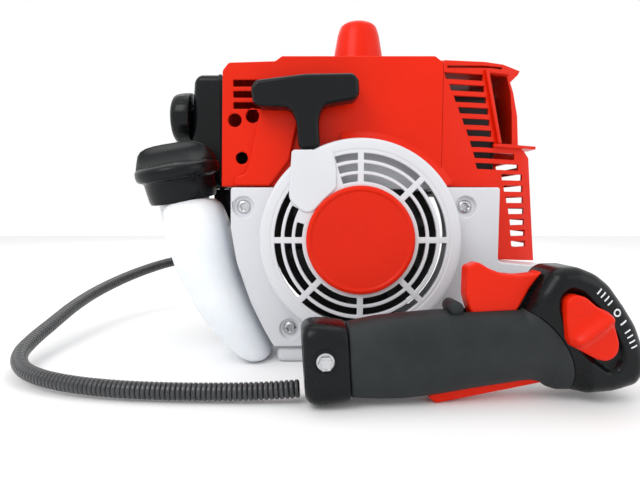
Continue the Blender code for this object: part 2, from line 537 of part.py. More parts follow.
tank = prism("fuel_tank", [[(-145, 113.3), (-143.5, 99), (-139, 81), (-129, 52), (-111, 25), (-87, 1.5), (-67, 1.5),
                            (-64.5, 9), (-72, 24), (-81.5, 45), (-91.5, 75), (-96, 98), (-99.5, 112), (-104, 118),
                            (-125, 116.2)]], -57, 70, TANK)
round_edges(tank, 8, 2, 25)
wall = tank.modifiers.new("wall", "SOLIDIFY")
wall.thickness = 2.0 * MM
wall.offset = -1.0
neck = pivot("cap_axis", CAP_AT, CAP_TURN)
join(tank, rod("neck", 20.5, (0, 0, -12), 23, "Z", sides=20, parent=neck))
cut(tank, rod("neck_bore", 17.5, (0, 0, -30), 45, "Z", sides=20, parent=neck),
    rod("grommet_hole", 4.2, (-101, -34, 103), 20, "X", sides=12))
turned("fuel_cap", [(0, 27), (27, 27), (30.5, 24.5), (30.5, 16.5), (28, 14.5), (24.8, 13), (24, -1.5),
                    (21.2, -1.5), (21.2, 13.4), (0, 13.4)], (0, 0, 0), "Z", BLACK, steps=24, parent=neck)
join(bpy.data.objects["fuel_cap"],
     box("cap_bar", (-26, -5.5, 25), (26, 5.5, 39), bevel=4, parent=neck))
turned("cap_seal", [(20.3, 13.1), (20.3, 11.3), (17.7, 11.3), (17.7, 13.1)], (0, 0, 0), "Z", RUBBER, steps=16, parent=neck)
hose("fuel_line", flow([(-99, -34, 103), (-88, -33, 105), (-79, -29, 115), (-71, -21, 126), (-67, -13, 133),
                        (-66, -12, 138.5)], 14), 2.4, FUEL, sides=1)

# ---- conduit ---------------------------------------------------------------------------------------------

gland = pivot("gland_axis", GLAND_AT, (0, 0, GLAND_YAW))
bracket = box("cable_bracket", (-18.3, -13, -12), (-15.3, 13, 12), STEEL, parent=gland)
join(bracket, box("bracket_arm", (-119, 82, 51.4), (-46 - GAP, 85.5, 74.6)))
turned("engine_gland", [(8.2, 13), (8.2, 0), (CONDUIT_R + 0.4, 0), (CONDUIT_R + 0.4, 9), (2.2, 9), (2.2, 15),
                        (11, 15), (11, 13)], (0, 0, 0), "-X", BLACK, steps=12, parent=gland)

ROUTE = [(-40, -153.6, 8.6), (-60, -153.9, 7.3), (-85, -153.6, 6.6), (-120, -152, 6.4), (-155, -148, 6.6),
         (-190, -139, 7.4), (-218, -124, 8.8), (-236, -102, 11.4), (-243, -76, 15), (-245, -40, 21), (-245, 0, 28.5),
         (-240, 40, 35.5), (-226, 80, 43.5), (-204, 113, 51), (-178, 135, 56), (-152, 140, 59.5), (-132, 129, 62),
         (-119.3, 108.2, 63), (-113.2, 97, 63)]
hose("conduit", flow(ROUTE, 34), CONDUIT_R, BLACK, sides=2)

# ---- control handle --------------------------------------------------------------------------------------
# Its own frame has +X along the grip, away from the conduit, and +Z towards the trigger.

hand = pivot("handle_axis", HANDLE_AT, HANDLE_TURN)
clamp = prism("handle_clamp", [[(0, 17), (1.5, 21.5), (5, 23), (15, 22.6), (25.4, 20.5), (25.4, -23.5), (16, -24.5),
                                (4, -24), (0.6, -21), (0, -15)]], 0, 34, BLACK, parent=hand)
round_edges(clamp, 2.5, 2, 40)
grip_body = prism("handle_grip", [[(25.8, 20.5), (44, 22.6), (76, 23.4), (108, 22.6), (129.6, 22.2), (135.8, 18.2), (141.8, 12.4), (146.5, 6.4),
                                   (150.9, -1), (154.1, -9), (155.6, -16), (156, -28.6), (149, -28.4), (143.5, -25.5),
                                   (138.5, -21.6), (134, -19.4), (90, -20.5),
                                   (66, -25.6), (42, -26), (25.8, -25.2)]], 0, 34, GREY, parent=hand)
round_edges(grip_body, 7, 3, 60)
tube_bore = rod("tube_bore_hole", 12.8, (-2, 0, 3), 64, "X", sides=20, parent=hand)
cut(clamp, tube_bore, rod("bolt_hole", 3.2, (12, 20, 3), 40, "-Y", sides=12, parent=hand),
    rod("conduit_socket", CONDUIT_R + 0.5, (-3, 0, -17.2), 9, "X", sides=12, parent=hand),
    rod("bolt_head_seat", 7.4, (12, -13.8, 3), 8, "-Y", sides=16, parent=hand),
    rod("nut_seat", 6.4, (12, 13.8, 3), 8, "Y", sides=6, parent=hand))
cut(grip_body, tube_bore, box("trigger_slot", (88, -5.6, 2), (139.5, 5.6, 40), parent=hand),
    box("lever_slot", (64, -6.1, -40), (147, 6.1, -9), parent=hand))
join(grip_body, rod("trigger_stop", 4.2, (90, -8, 25.2), 16, "Y", sides=12, parent=hand))

head = prism("handle_head", [[(130.5, 22.6), (136, 33.5), (144.2, 45), (148, 46.6), (159.7, 46.2), (169.9, 41.6),
                              (177.8, 34.9), (186.3, 22.6), (193.7, 10.2), (197.8, -1.8), (199.6, -10.4), (198.4, -18.9),
                              (193.9, -25.5), (180.2, -28.6), (157, -28.8), (156.6, -16), (155, -8.8), (151.7, -0.6),
                              (147.3, 6.8), (142.6, 12.8), (136.6, 18.7)]], 0, 38, BLACK, parent=hand)
round_edges(head, 5, 3, 60)
cut(head, prism("switch_dish", [[(147, 31.5), (151.7, 36.4), (159.8, 33.8), (169.2, 23.4), (184, -0.8), (184.7, -9), (181, -16),
                                 (174, -17.5), (161, -7.8), (152.6, 2.8), (149, 12.3)]], -19, 5, parent=hand),
    box("trigger_pocket", (126, -5.6, 12), (146, 5.6, 52), parent=hand),
    rod("switch_hole", 4.3, (165, -22, 11.3), 14, "Y", sides=12, parent=hand))

turned("clamp_bolt", [(0, 22), (3.6, 22), (5.2, 21), (5.2, 17.5), (7, 17.3), (7, 14.2), (3, 14.2), (3, -12), (0, -12)],
       (12, 0, 3), "-Y", STEEL, steps=12, parent=hand)
trigger_axis = pivot("trigger_axis", (133, 0, 27), parent=hand)
prism("throttle_trigger", [[(-37.4, 6), (-34.6, -3), (-33.6, -10), (-8, -10), (-4, -6), (-2, -3.5), (3.2, 5.6), (10.4, 16.6), (9.4, 17.6), (3.6, 16),
                            (-5.6, 15.6), (-14.6, 17), (-22.6, 20.4), (-27.5, 24.7), (-30.7, 25.4), (-34.4, 24), (-36.4, 20)]],
      0, 10, RED, parent=trigger_axis)
round_edges(bpy.data.objects["throttle_trigger"], 2.5, 2, 40)
lever_axis = pivot("lever_axis", (142, 0, -20), parent=hand)
prism("lockout_lever", [[(-69.6, -6.2), (-62.5, -10.4), (-25, -6.2), (0, -3.4), (2.6, 0), (0, 3), (-8, 3.2), (-52, -2.4)]],
      0, 11, RED, parent=lever_axis)
round_edges(bpy.data.objects["lockout_lever"], 1.5, 1, 40)
switch_axis = pivot("switch_axis", (165, -19, 11.3), parent=hand)
switch = prism("stop_switch", [[(-15, 17.5), (-9, 21), (-4, 18.2), (5.5, 11), (11, 6.3), (13.5, -10), (6.5, -18), (-6, -13),
                                (-12, -5), (-16, 3)]], -2.8, 4.4, RED, parent=switch_axis)
round_edges(switch, 1.5, 1, 40)
join(switch, rod("switch_stem", 4, (0, 5, 0), 8, "-Y", sides=12, parent=switch_axis),
     prism("switch_ridge", [[(-9.5, -6.5), (-7.5, -8.5), (10, 4), (8, 7)]], -6, 6, parent=switch_axis))
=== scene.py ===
"""A petrol power head for a concrete vibrator, standing on its foot with its throttle handle."""
import json
from math import radians

import bmesh
import bpy
import numpy as np
from mathutils import Euler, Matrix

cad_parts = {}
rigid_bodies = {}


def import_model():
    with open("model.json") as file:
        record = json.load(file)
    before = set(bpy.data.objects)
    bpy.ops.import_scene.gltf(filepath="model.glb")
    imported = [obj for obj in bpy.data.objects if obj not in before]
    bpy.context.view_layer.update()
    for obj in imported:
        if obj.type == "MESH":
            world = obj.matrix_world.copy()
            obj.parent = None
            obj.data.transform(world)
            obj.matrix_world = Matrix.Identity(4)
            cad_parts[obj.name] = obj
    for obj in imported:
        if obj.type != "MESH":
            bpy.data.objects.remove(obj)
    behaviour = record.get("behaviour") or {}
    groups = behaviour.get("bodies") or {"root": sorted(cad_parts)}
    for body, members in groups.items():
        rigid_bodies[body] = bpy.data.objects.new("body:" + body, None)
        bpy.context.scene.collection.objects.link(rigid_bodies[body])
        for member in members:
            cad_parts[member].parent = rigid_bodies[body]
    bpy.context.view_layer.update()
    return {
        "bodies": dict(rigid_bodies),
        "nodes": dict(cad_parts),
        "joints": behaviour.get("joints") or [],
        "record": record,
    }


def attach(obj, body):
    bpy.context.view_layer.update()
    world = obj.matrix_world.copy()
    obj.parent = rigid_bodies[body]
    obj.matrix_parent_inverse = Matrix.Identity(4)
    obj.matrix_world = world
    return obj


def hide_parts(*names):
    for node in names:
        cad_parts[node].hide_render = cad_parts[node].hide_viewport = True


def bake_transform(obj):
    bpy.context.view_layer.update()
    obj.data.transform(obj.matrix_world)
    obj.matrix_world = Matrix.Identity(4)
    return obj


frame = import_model()
scene = bpy.context.scene
nodes = frame["nodes"]

# ---- Camera --------------------------------------------------------------------------------------
# Held low, less than half a metre in front of the starter, and tipped slightly down.

camera = bpy.data.objects.new("camera", bpy.data.cameras.new("camera"))
scene.collection.objects.link(camera)
scene.camera = camera
camera.location = (-0.028, -0.440, 0.1155)
camera.rotation_euler = (radians(85), 0, 0)
camera.data.sensor_width = 36
camera.data.lens = 28.125
camera.data.clip_start = 0.01

# ---- Conduit -------------------------------------------------------------------------------------
# Glossy black corrugated nylon conduit, 10.6 mm over its ribs and about 0.9 m long.  It is pushed
# into the handle's clamp, lies on the floor in one wide loop and ends in the gland behind the tank.


def surface(name, material, *sheets, crease=35, weighted=False):
    """One mesh of several grids of points, which are in millimetres.

    Each sheet is (points, around, along, caps): points is rows x columns x 3; around closes every
    row on itself and along joins the last row to the first; caps puts a flat face over the first
    and the last row.  A quad joins each point, the next in its row and the two below them, and a
    fifth entry, True or False for each quad, leaves some out.
    """
    verts, loops, starts, first, corner = [], [], [], 0, 0
    for points, around, along, caps, *kept in sheets:
        rows, columns = points.shape[:2]
        at = np.arange(rows * columns).reshape(rows, columns) + first
        ends = [at[0], at[-1]] if caps else []
        if around:
            at = np.concatenate([at, at[:, :1]], axis=1)
        if along:
            at = np.concatenate([at, at[:1]], axis=0)
        quads = np.stack([at[:-1, :-1], at[:-1, 1:], at[1:, 1:], at[1:, :-1]], axis=-1)
        quads = (quads[kept[0]] if kept else quads).reshape(-1)
        loops.append(quads)
        starts.append(np.arange(0, quads.size, 4) + corner)
        corner += quads.size
        for rim in ends:
            loops.append(rim)
            starts.append(np.array([corner]))
            corner += rim.size
        verts.append(points.reshape(-1, 3))
        first += rows * columns
    verts, loops, starts = np.concatenate(verts) * 0.001, np.concatenate(loops), np.concatenate(starts)
    data = bpy.data.meshes.new(name)
    data.vertices.add(len(verts))
    data.vertices.foreach_set("co", verts.ravel())
    data.loops.add(len(loops))
    data.loops.foreach_set("vertex_index", loops.astype(np.int32))
    data.polygons.add(len(starts))
    data.polygons.foreach_set("loop_start", starts.astype(np.int32))
    data.update(calc_edges=True)
    return shown(name, data, material, crease, weighted)


def shown(name, data, material, crease=35, weighted=False, outwards=True):
    """Weld a mesh's doubled points, face it outwards, smooth it up to an angle and put it in the scene."""
    work = bmesh.new()
    work.from_mesh(data)
    bmesh.ops.remove_doubles(work, verts=work.verts, dist=2e-6)
    if outwards:
        bmesh.ops.recalc_face_normals(work, faces=work.faces)
    work.to_mesh(data)
    work.free()
    data.shade_smooth()
    data.set_sharp_from_angle(angle=radians(crease))
    data.materials.clear()
    data.materials.append(material)
    made = bpy.data.objects.new(name, data)
    scene.collection.objects.link(made)
    if weighted:
        flat = made.modifiers.new("flat faces stay flat", "WEIGHTED_NORMAL")
        flat.keep_sharp = True
    return made


class Value:
    """A shader socket that takes part in sums: + - * / ** and > add Math nodes to its tree."""

    def __init__(self, paint, socket):
        self.paint, self.socket = paint, socket

    def maths(self, operation, *values, clamp=False):
        return self.paint.node("Math", {"operation": operation, "use_clamp": clamp}, dict(enumerate(values)))

    def __add__(self, other):
        return self.maths("ADD", self, other)

    def __sub__(self, other):
        return self.maths("SUBTRACT", self, other)

    def __rsub__(self, other):
        return self.maths("SUBTRACT", other, self)

    def __mul__(self, other):
        return self.maths("MULTIPLY", self, other)

    def __truediv__(self, other):
        return self.maths("DIVIDE", self, other)

    def __rtruediv__(self, other):
        return self.maths("DIVIDE", other, self)

    def __pow__(self, other):
        return self.maths("POWER", self, other)

    def __gt__(self, other):
        return self.maths("GREATER_THAN", self, other)

    def between(self, low, high):
        """0 below low, 1 above high and a straight rise from one to the other."""
        return self.paint.node("MapRange", {"clamp": True}, {"Value": self, "From Min": low, "From Max": high})

    __radd__, __rmul__ = __add__, __mul__


class Paint:
    """A material in the making, and its Principled shader."""

    def __init__(self, name, **constants):
        self.material = bpy.data.materials.new(name)
        self.material.use_nodes = True
        self.tree = self.material.node_tree
        self.shader = self.tree.nodes["Principled BSDF"]
        self.place = self.node("TexCoord", {}, {}, "Object")
        for label, value in constants.items():
            self.shader.inputs[label.replace("_", " ")].default_value = value

    def node(self, kind, settings, inputs, output=0):
        """Any node: its type, its settings, the values or links of its sockets, and the socket to read."""
        made = self.tree.nodes.new("ShaderNode" + kind)
        for label, value in settings.items():
            setattr(made, label, value)
        for label, value in inputs.items():
            socket = made.inputs[label]
            if isinstance(value, Value):
                self.tree.links.new(value.socket, socket)
            else:
                socket.default_value = value
        return Value(self, made.outputs[output])

    def noise(self, scale, detail=3, rough=0.5, stretch=None):
        """Soft random blotches, 1 / scale metres across, and longer along an axis that stretch divides."""
        where = self.place
        if stretch:
            where = self.node("Mapping", {}, {"Vector": where, "Scale": stretch})
        return self.node("TexNoise", {}, {"Vector": where, "Scale": scale, "Detail": detail, "Roughness": rough})

    def blend(self, share, first, second):
        """A colour that runs from first to second as share runs from 0 to 1."""
        first, second = ((*c, 1) if isinstance(c, tuple) else c for c in (first, second))
        return self.node("Mix", {"data_type": "RGBA"}, {0: share, 6: first, 7: second}, 2)

    def bump(self, height, depth, under=None):
        """A normal for a height field that stands depth metres proud."""
        links = {"Height": height, "Distance": depth, "Strength": 1.0}
        if under:
            links["Normal"] = under
        return self.node("Bump", {}, links)

    def give(self, **links):
        for label, value in links.items():
            self.tree.links.new(value.socket, self.shader.inputs[label.replace("_", " ")])
        return self.material


def moulded(name, colour, rough, grain=0.00003, size=900, shade=0.86, coat=0.0, **constants):
    """Injection-moulded plastic: a slow drift of colour, a fine grain and patches of duller skin."""
    paint = Paint(name, **constants)
    drift = paint.noise(22, 4, 0.6)
    speck = paint.noise(size, 2, 0.6)
    dull = paint.noise(70, 5, 0.65)
    if coat:
        paint.shader.inputs["Coat Weight"].default_value = coat
        paint.shader.inputs["Coat Roughness"].default_value = 0.08
    dark = tuple(c * shade for c in colour)
    return paint.give(Base_Color=paint.blend(drift.between(0.3, 0.7), dark, colour),
                      Roughness=rough + (dull - 0.5) * 0.16 + (speck - 0.5) * 0.06,
                      Normal=paint.bump(speck, grain))


def carried(path, around, count):
    """Centre points, and the two directions across the path, at every point of a smooth path.

    The path's tangent is its own gradient; one direction stays level, the other is their cross.
    """
    ahead = np.gradient(path, axis=0)
    ahead /= np.linalg.norm(ahead, axis=1, keepdims=True)
    level = np.cross(ahead, np.array([0.0, 0.0, 1.0]))
    level /= np.linalg.norm(level, axis=1, keepdims=True)
    up = np.cross(level, ahead)
    angle = np.linspace(0, 2 * np.pi, around, endpoint=False)
    return path, level[:, None] * np.cos(angle)[None, :, None] + up[:, None] * np.sin(angle)[None, :, None]


def flowing(route, count):
    """count evenly spaced points on the Catmull-Rom curve through a route's points."""
    pts = np.array(route, float)
    pts = np.vstack([2 * pts[0] - pts[1], pts, 2 * pts[-1] - pts[-2]])
    a, b, c, d = pts[:-3, None], pts[1:-2, None], pts[2:-1, None], pts[3:, None]
    t = np.linspace(0, 1, 24, endpoint=False)[None, :, None]
    fine = 0.5 * (2 * b + (c - a) * t + (2 * a - 5 * b + 4 * c - d) * t ** 2 + (3 * b - a - 3 * c + d) * t ** 3)
    fine = np.vstack([fine.reshape(-1, pts.shape[1]), pts[-2]])
    run = np.concatenate([[0], np.cumsum(np.linalg.norm(np.diff(fine, axis=0), axis=1))])
    want = np.linspace(0, run[-1], count)
    return np.stack([np.interp(want, run, fine[:, k]) for k in range(pts.shape[1])], axis=1)


route = [(-40, -153.6, 8.6), (-60, -153.9, 7.3), (-85, -153.6, 6.6), (-120, -152, 6.4), (-155, -148, 6.6),
         (-190, -139, 7.4), (-218, -124, 8.8), (-236, -102, 11.4), (-243, -76, 15), (-245, -40, 21),
         (-245, 0, 28.5), (-240, 40, 35.5), (-226, 80, 43.5), (-204, 113, 51), (-178, 135, 56),
         (-152, 140, 59.5), (-132, 129, 62), (-119.3, 108.2, 63), (-113.2, 97, 63)]
line = flowing(route, 34)
run = float(np.linalg.norm(np.diff(line, axis=0), axis=1).sum())
ribs = int(run / 3.0)
fine_line, across = carried(flowing(line, ribs * 8 + 1), 20, 0)
phase = np.arange(ribs * 8 + 1) / 8 % 1
height = 4.35 + 0.95 * np.clip(1.5 * np.sin(np.pi * phase) ** 1.2, 0, 1)
nylon = Paint("conduit nylon", Coat_Weight=0.5, Coat_Roughness=0.12)
scuff = nylon.noise(160, 5, 0.7)
nylon.give(Base_Color=nylon.blend(scuff.between(0.45, 0.75), (0.012, 0.013, 0.015), (0.035, 0.037, 0.042)),
           Roughness=0.26 + scuff * 0.22, Normal=nylon.bump(nylon.noise(1400, 2), 0.00002))
conduit = surface("corrugated_conduit", nylon.material,
                  (fine_line[:, None] + across * height[:, None, None], True, False, True), crease=75)
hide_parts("conduit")
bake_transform(conduit)

# ---- Studio --------------------------------------------------------------------------------------
# A white table and a white room, one large soft lamp over the left shoulder, a weaker one on the
# right, and one behind.

pale = Paint("pale table", Specular_IOR_Level=0.2)
pale.give(Base_Color=pale.blend(pale.noise(3, 2), (0.86, 0.86, 0.87), (0.89, 0.89, 0.89)),
          Roughness=0.75 + pale.noise(40) * 0.1)
span = np.linspace(-1500, 1500, 9)
table = surface("table", pale.material, (np.stack([*np.meshgrid(span, span), np.zeros((9, 9))], axis=-1),
                                         False, False, False))
table.data.flip_normals() if table.data.polygons[0].normal.z < 0 else None


def lamp(name, place, aim, size, power):
    """A square area lamp that faces from its place towards its aim."""
    made = bpy.data.objects.new(name, bpy.data.lights.new(name, "AREA"))
    scene.collection.objects.link(made)
    made.data.size = size
    made.data.energy = power
    made.location = place
    away = np.subtract(place, aim)
    made.rotation_euler = (np.arctan2(np.hypot(away[0], away[1]), away[2]), 0, np.arctan2(away[0], -away[1]))


lamp("key lamp", (-0.55, -0.75, 0.95), (0, 0, 0.1), 0.6, 5.0)
lamp("fill lamp", (0.9, -0.6, 0.55), (0, 0, 0.1), 0.6, 1.2)
lamp("top lamp", (0.05, 0.15, 1.1), (0, 0, 0.1), 0.8, 2.0)
lamp("rear lamp", (-0.2, 1.1, 0.7), (0, 0, 0.1), 0.8, 2.5)
room = bpy.data.worlds.new("white room")
scene.world = room
room.use_nodes = True
room.node_tree.nodes["Background"].inputs["Color"].default_value = (1, 1, 1, 1)
room.node_tree.nodes["Background"].inputs["Strength"].default_value = 1.0
scene.view_settings.view_transform = "Standard"

# ---- Foot and crankcase --------------------------------------------------------------------------
# The foot is a white nylon moulding, screwed under a die-cast aluminium crankcase whose two halves
# meet under the cylinder.


def finer(node, material, rounding=0.5, crease=32, segments=2):
    """The node's own solid with its triangles welded, its flats made whole and its edges rounded."""
    data = nodes[node].data.copy()
    work = bmesh.new()
    work.from_mesh(data)
    bmesh.ops.remove_doubles(work, verts=work.verts, dist=2e-6)
    bmesh.ops.dissolve_limit(work, angle_limit=radians(0.6), verts=work.verts, edges=work.edges)
    work.to_mesh(data)
    work.free()
    made = shown(node + "_finished", data, material, crease, outwards=False)
    if rounding:
        edges = made.modifiers.new("edges", "BEVEL")
        edges.width = rounding * 0.001
        edges.segments = segments
        edges.limit_method = "ANGLE"
        edges.angle_limit = radians(crease)
        edges.harden_normals = True
        edges.use_clamp_overlap = True
    flat = made.modifiers.new("flat faces stay flat", "WEIGHTED_NORMAL")
    flat.keep_sharp = True
    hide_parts(node)
    return made


def seat(piece, body, slot, *stands_for):
    """The body a piece moves with and the nodes it stands for; slot, the finish it takes, is not used."""
    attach(piece, body)
    if stands_for:
        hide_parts(*stands_for)
    return piece


white = moulded("white nylon", (0.66, 0.67, 0.70), 0.33, 0.000012, 1100, 0.95, Specular_IOR_Level=0.45)
seat(finer("base_foot", white, 1.6, segments=4), "engine", "white_plastic")


def cast(name, colour, rough, lumps=0.00006, metal=0.85):
    """Die-cast or sand-blasted metal: a pitted skin and blotchy darker stains."""
    paint = Paint(name, Metallic=metal)
    pits = paint.noise(700, 4, 0.65)
    stain = paint.noise(45, 4, 0.6)
    return paint.give(Base_Color=paint.blend(stain.between(0.35, 0.7), tuple(c * 0.78 for c in colour), colour),
                      Roughness=rough + (pits - 0.5) * 0.25, Normal=paint.bump(pits, lumps))


alloy = cast("cast alloy", (0.56, 0.57, 0.585), 0.45)
# The front half round the flywheel is near black for two reasons: black paint, as such fan cases have, and painted
# shade for the inside of the drum seen through the grille.
black_paint_and_painted_shade = cast("black painted cast alloy and painted shade", (0.006, 0.006, 0.0065), 0.6, metal=0.0)
seat(finer("crankcase_front", black_paint_and_painted_shade, 0.8), "engine", "cast_aluminium")
seat(finer("crankcase_rear", alloy, 0.8), "engine", "cast_aluminium")

# ---- Bearings, crank train and flywheel ----------------------------------------------------------
# Ground steel shafts and bearings inside the crankcase, and a cast flywheel whose ten fan blades are seen, nearly
# black, through the starter's grille; that near-black colour is painted shade.


def worked(name, colour, rough, axis=(1, 1, 30), metal=1.0):
    """Machined or ground metal: fine lines round or along one axis and faint oil staining."""
    paint = Paint(name, Metallic=metal)
    lines = paint.noise(900, 3, 0.6, stretch=axis)
    stain = paint.noise(60, 4, 0.6)
    return paint.give(Base_Color=paint.blend(stain.between(0.3, 0.75), tuple(c * 0.72 for c in colour), colour),
                      Roughness=rough + (lines - 0.5) * 0.2, Normal=paint.bump(lines, 0.000008))


ground = worked("ground steel", (0.62, 0.62, 0.63), 0.24)
plated = worked("zinc plate", (0.66, 0.67, 0.69), 0.3, (30, 1, 1))
blued = worked("black oxide steel", (0.09, 0.09, 0.1), 0.42)
# The flywheel's near-black colour is painted shade: it stands in for the shade inside the starter drum, seen through
# the grille.
flywheel_painted_shade = cast("near-black cast alloy as painted shade", (0.02, 0.02, 0.022), 0.6, metal=0.1)
bronze = worked("sintered bronze", (0.5, 0.34, 0.18), 0.4)
for node, look in (("front_bearing", ground), ("rear_bearing", ground), ("output_bearing", ground),
                   ("crankshaft_front", ground), ("crankshaft_rear", ground), ("connecting_rod", blued),
                   ("piston", alloy), ("clutch_hub", ground), ("clutch_shoe_1", blued), ("clutch_shoe_2", blued),
                   ("starter_pawl", plated), ("reel_screw", plated), ("recoil_spring", plated),
                   ("rope_bushing", plated), ("carb_throttle", bronze), ("choke_lever", plated),
                   ("flywheel", flywheel_painted_shade)):
    nodes[node].data.materials.clear()
    nodes[node].data.materials.append(look)

# ---- Starter housing -----------------------------------------------------------------------------
# One white nylon moulding: a tapered shell with four deep screw pockets, and on it a drum whose face
# is a grille of three rings of slots.  A boss for the rope stands at the drum's upper left.


def rounded(corners, radius, steps=5):
    """A closed polygon with each corner drawn as the circular arc that touches both its sides."""
    p = np.array(corners, float)
    a, b = np.roll(p, 1, 0) - p, np.roll(p, -1, 0) - p
    la, lb = np.linalg.norm(a, axis=1), np.linalg.norm(b, axis=1)
    a, b = a / la[:, None], b / lb[:, None]
    half = np.clip(np.arccos(np.clip((a * b).sum(1), -1, 1)) / 2, 0.05, 1.565)
    t = np.minimum(np.minimum(radius / np.tan(half), 0.48 * la), 0.48 * lb)
    toward = a + b
    toward /= np.maximum(np.linalg.norm(toward, axis=1, keepdims=True), 1e-9)
    along = b - toward * (b * toward).sum(1, keepdims=True)
    along /= np.maximum(np.linalg.norm(along, axis=1, keepdims=True), 1e-9)
    centre = p + toward * (t / np.cos(half))[:, None]
    angle = (np.pi / 2 - half)[:, None] * np.linspace(-1, 1, steps + 1)[None, :]
    reach = (t * np.tan(half))[:, None, None]
    out = centre[:, None] + reach * (-toward[:, None] * np.cos(angle)[..., None] + along[:, None] * np.sin(angle)[..., None])
    out = out.reshape(-1, 2)
    return out[np.linalg.norm(out - np.roll(out, 1, 0), axis=1) > 1e-3]


def outward(outline):
    """The closed outline run anticlockwise, and its outward normal, lengthened at corners."""
    x, y = outline[:, 0], outline[:, 1]
    if np.sum(x * np.roll(y, -1) - np.roll(x, -1) * y) < 0:
        outline = outline[::-1]
    e = np.roll(outline, -1, 0) - outline
    e /= np.linalg.norm(e, axis=1, keepdims=True)
    n = np.stack([e[:, 1], -e[:, 0]], axis=1)
    n = n + np.roll(n, 1, 0)
    n /= np.linalg.norm(n, axis=1, keepdims=True)
    stretch = 1 / np.clip((n * np.stack([e[:, 1], -e[:, 0]], axis=1)).sum(1), 0.6, 1)
    return outline, n * stretch[:, None]


def front(flat):
    """Points (across, up, depth) laid with depth along +Y."""
    return flat[..., [0, 2, 1]]


def swept(outline, section, lay=front):
    """A section of (inset, depth) carried round an outline: point + depth - inset x normal.

    Where the outline turns outwards tighter than the inset, the inset stops short of the turn's
    centre, so that the section never folds over itself.
    """
    line2, normal = outward(np.array(outline, float))
    e, f = np.roll(line2, -1, 0) - line2, line2 - np.roll(line2, 1, 0)
    turn = np.arctan2(f[:, 0] * e[:, 1] - f[:, 1] * e[:, 0], (f * e).sum(1))
    room = np.where(turn > 0.01, np.minimum(np.linalg.norm(e, axis=1), np.linalg.norm(f, axis=1)) / np.maximum(turn, 0.01), 1e3)
    room = 0.92 * np.minimum(room, np.minimum(np.roll(room, 1), np.roll(room, -1)))
    inset, depth = np.array(section, float).T
    flat = line2[None] - normal[None] * np.minimum(inset[:, None], room[None])[..., None]
    return lay(np.concatenate([flat, np.broadcast_to(depth[:, None, None], (*flat.shape[:2], 1))], axis=-1))


def rim(near, far, radius, deep=None, steps=5, far_radius=None):
    """A section from the middle of one face to the other, with a quarter ellipse at both edges."""
    q = np.linspace(0, np.pi / 2, steps + 1)
    other = radius if far_radius is None else far_radius
    first = np.stack([radius * (1 - np.sin(q)), near + (deep or radius) * (1 - np.cos(q))], axis=1)
    last = np.stack([other * (1 - np.sin(q)), far - (deep or other) * (1 - np.cos(q))], axis=1)
    return np.vstack([first, last[::-1]])


def spun(profile, middle, steps=96, axis="-Y", swing=None):
    """A profile of (radius, height) turned about an axis through middle; swing changes the radius."""
    r, h = np.array(profile, float).T
    angle = np.linspace(0, 2 * np.pi, steps, endpoint=False)
    scale = 1 if swing is None else swing(angle[None, :], r[:, None], h[:, None])
    x, y = r[:, None] * np.cos(angle) * scale, r[:, None] * np.sin(angle) * scale
    z = np.broadcast_to(h[:, None], x.shape)
    flat = {"-Y": (x, -z, y), "Y": (-x, z, y), "Z": (x, y, z), "-X": (-z, -x, y), "X": (z, x, y)}[axis]
    return np.stack(flat, axis=-1) + np.array(middle, float)


def turned(name, material, profile, middle, steps=96, axis="-Y", swing=None, crease=35):
    """A turned piece; a profile that starts and ends on the axis is solid, any other closes on itself."""
    along = profile[0][0] > 0
    return surface(name, material, (spun(profile, middle, steps, axis, swing), True, along, False), crease=crease)


def soft(profile, radius=0.6, steps=3):
    """A turned piece's profile with its corners rounded; points on the axis stay where they are."""
    p = np.array(profile, float)
    open_ends = p[0, 0] == 0
    out = rounded(p, radius, steps).reshape(-1, 2) if not open_ends else None
    if open_ends:
        inner = p[1:-1]
        a, b = p[:-2] - inner, p[2:] - inner
        la, lb = np.linalg.norm(a, axis=1), np.linalg.norm(b, axis=1)
        t = np.minimum(radius, 0.45 * np.minimum(la, lb))[:, None, None]
        s = np.linspace(0, 1, steps + 1)[None, :, None]
        start = inner[:, None] + (a / la[:, None])[:, None] * t
        end = inner[:, None] + (b / lb[:, None])[:, None] * t
        out = ((1 - s) ** 2 * start + 2 * s * (1 - s) * inner[:, None] + s ** 2 * end).reshape(-1, 2)
        out = np.vstack([p[:1], out, p[-1:]])
    return out


def circle(x, y, radius, steps=48):
    angle = np.linspace(0, 2 * np.pi, steps, endpoint=False)
    return np.stack([x + radius * np.cos(angle), y + radius * np.sin(angle)], axis=1)


def pierced(name, material, outlines, near, far, rounding=0.5, lay=front, crease=35):
    """A plate with holes, which no single grid can make: a filled flat curve, its edges rolled over.

    The first outline is the plate and the others are its holes; near and far are its two faces.
    """
    curve = bpy.data.curves.new(name, "CURVE")
    curve.dimensions = "2D"
    curve.fill_mode = "BOTH"
    curve.extrude = (far - near) / 2 - rounding
    curve.bevel_depth = rounding
    curve.bevel_resolution = 2
    curve.offset = -rounding
    for k, outline in enumerate(outlines):
        flat = outward(np.array(outline, float))[0]
        flat = flat if k == 0 else flat[::-1]
        spline = curve.splines.new("POLY")
        spline.points.add(len(flat) - 1)
        spline.points.foreach_set("co", np.concatenate([flat, np.zeros((len(flat), 1)), np.ones((len(flat), 1))],
                                                       axis=1).ravel())
        spline.use_cyclic_u = True
    holder = bpy.data.objects.new(name + " outline", curve)
    scene.collection.objects.link(holder)
    bpy.context.view_layer.update()
    data = bpy.data.meshes.new_from_object(holder.evaluated_get(bpy.context.evaluated_depsgraph_get()))
    bpy.data.objects.remove(holder)
    flat = np.empty(len(data.vertices) * 3)
    data.vertices.foreach_get("co", flat)
    flat = flat.reshape(-1, 3)
    flat[:, 2] += (near + far) / 2
    data.vertices.foreach_set("co", (lay(flat) * 0.001).ravel())
    data.update()
    return shown(name, data, material, crease, True)


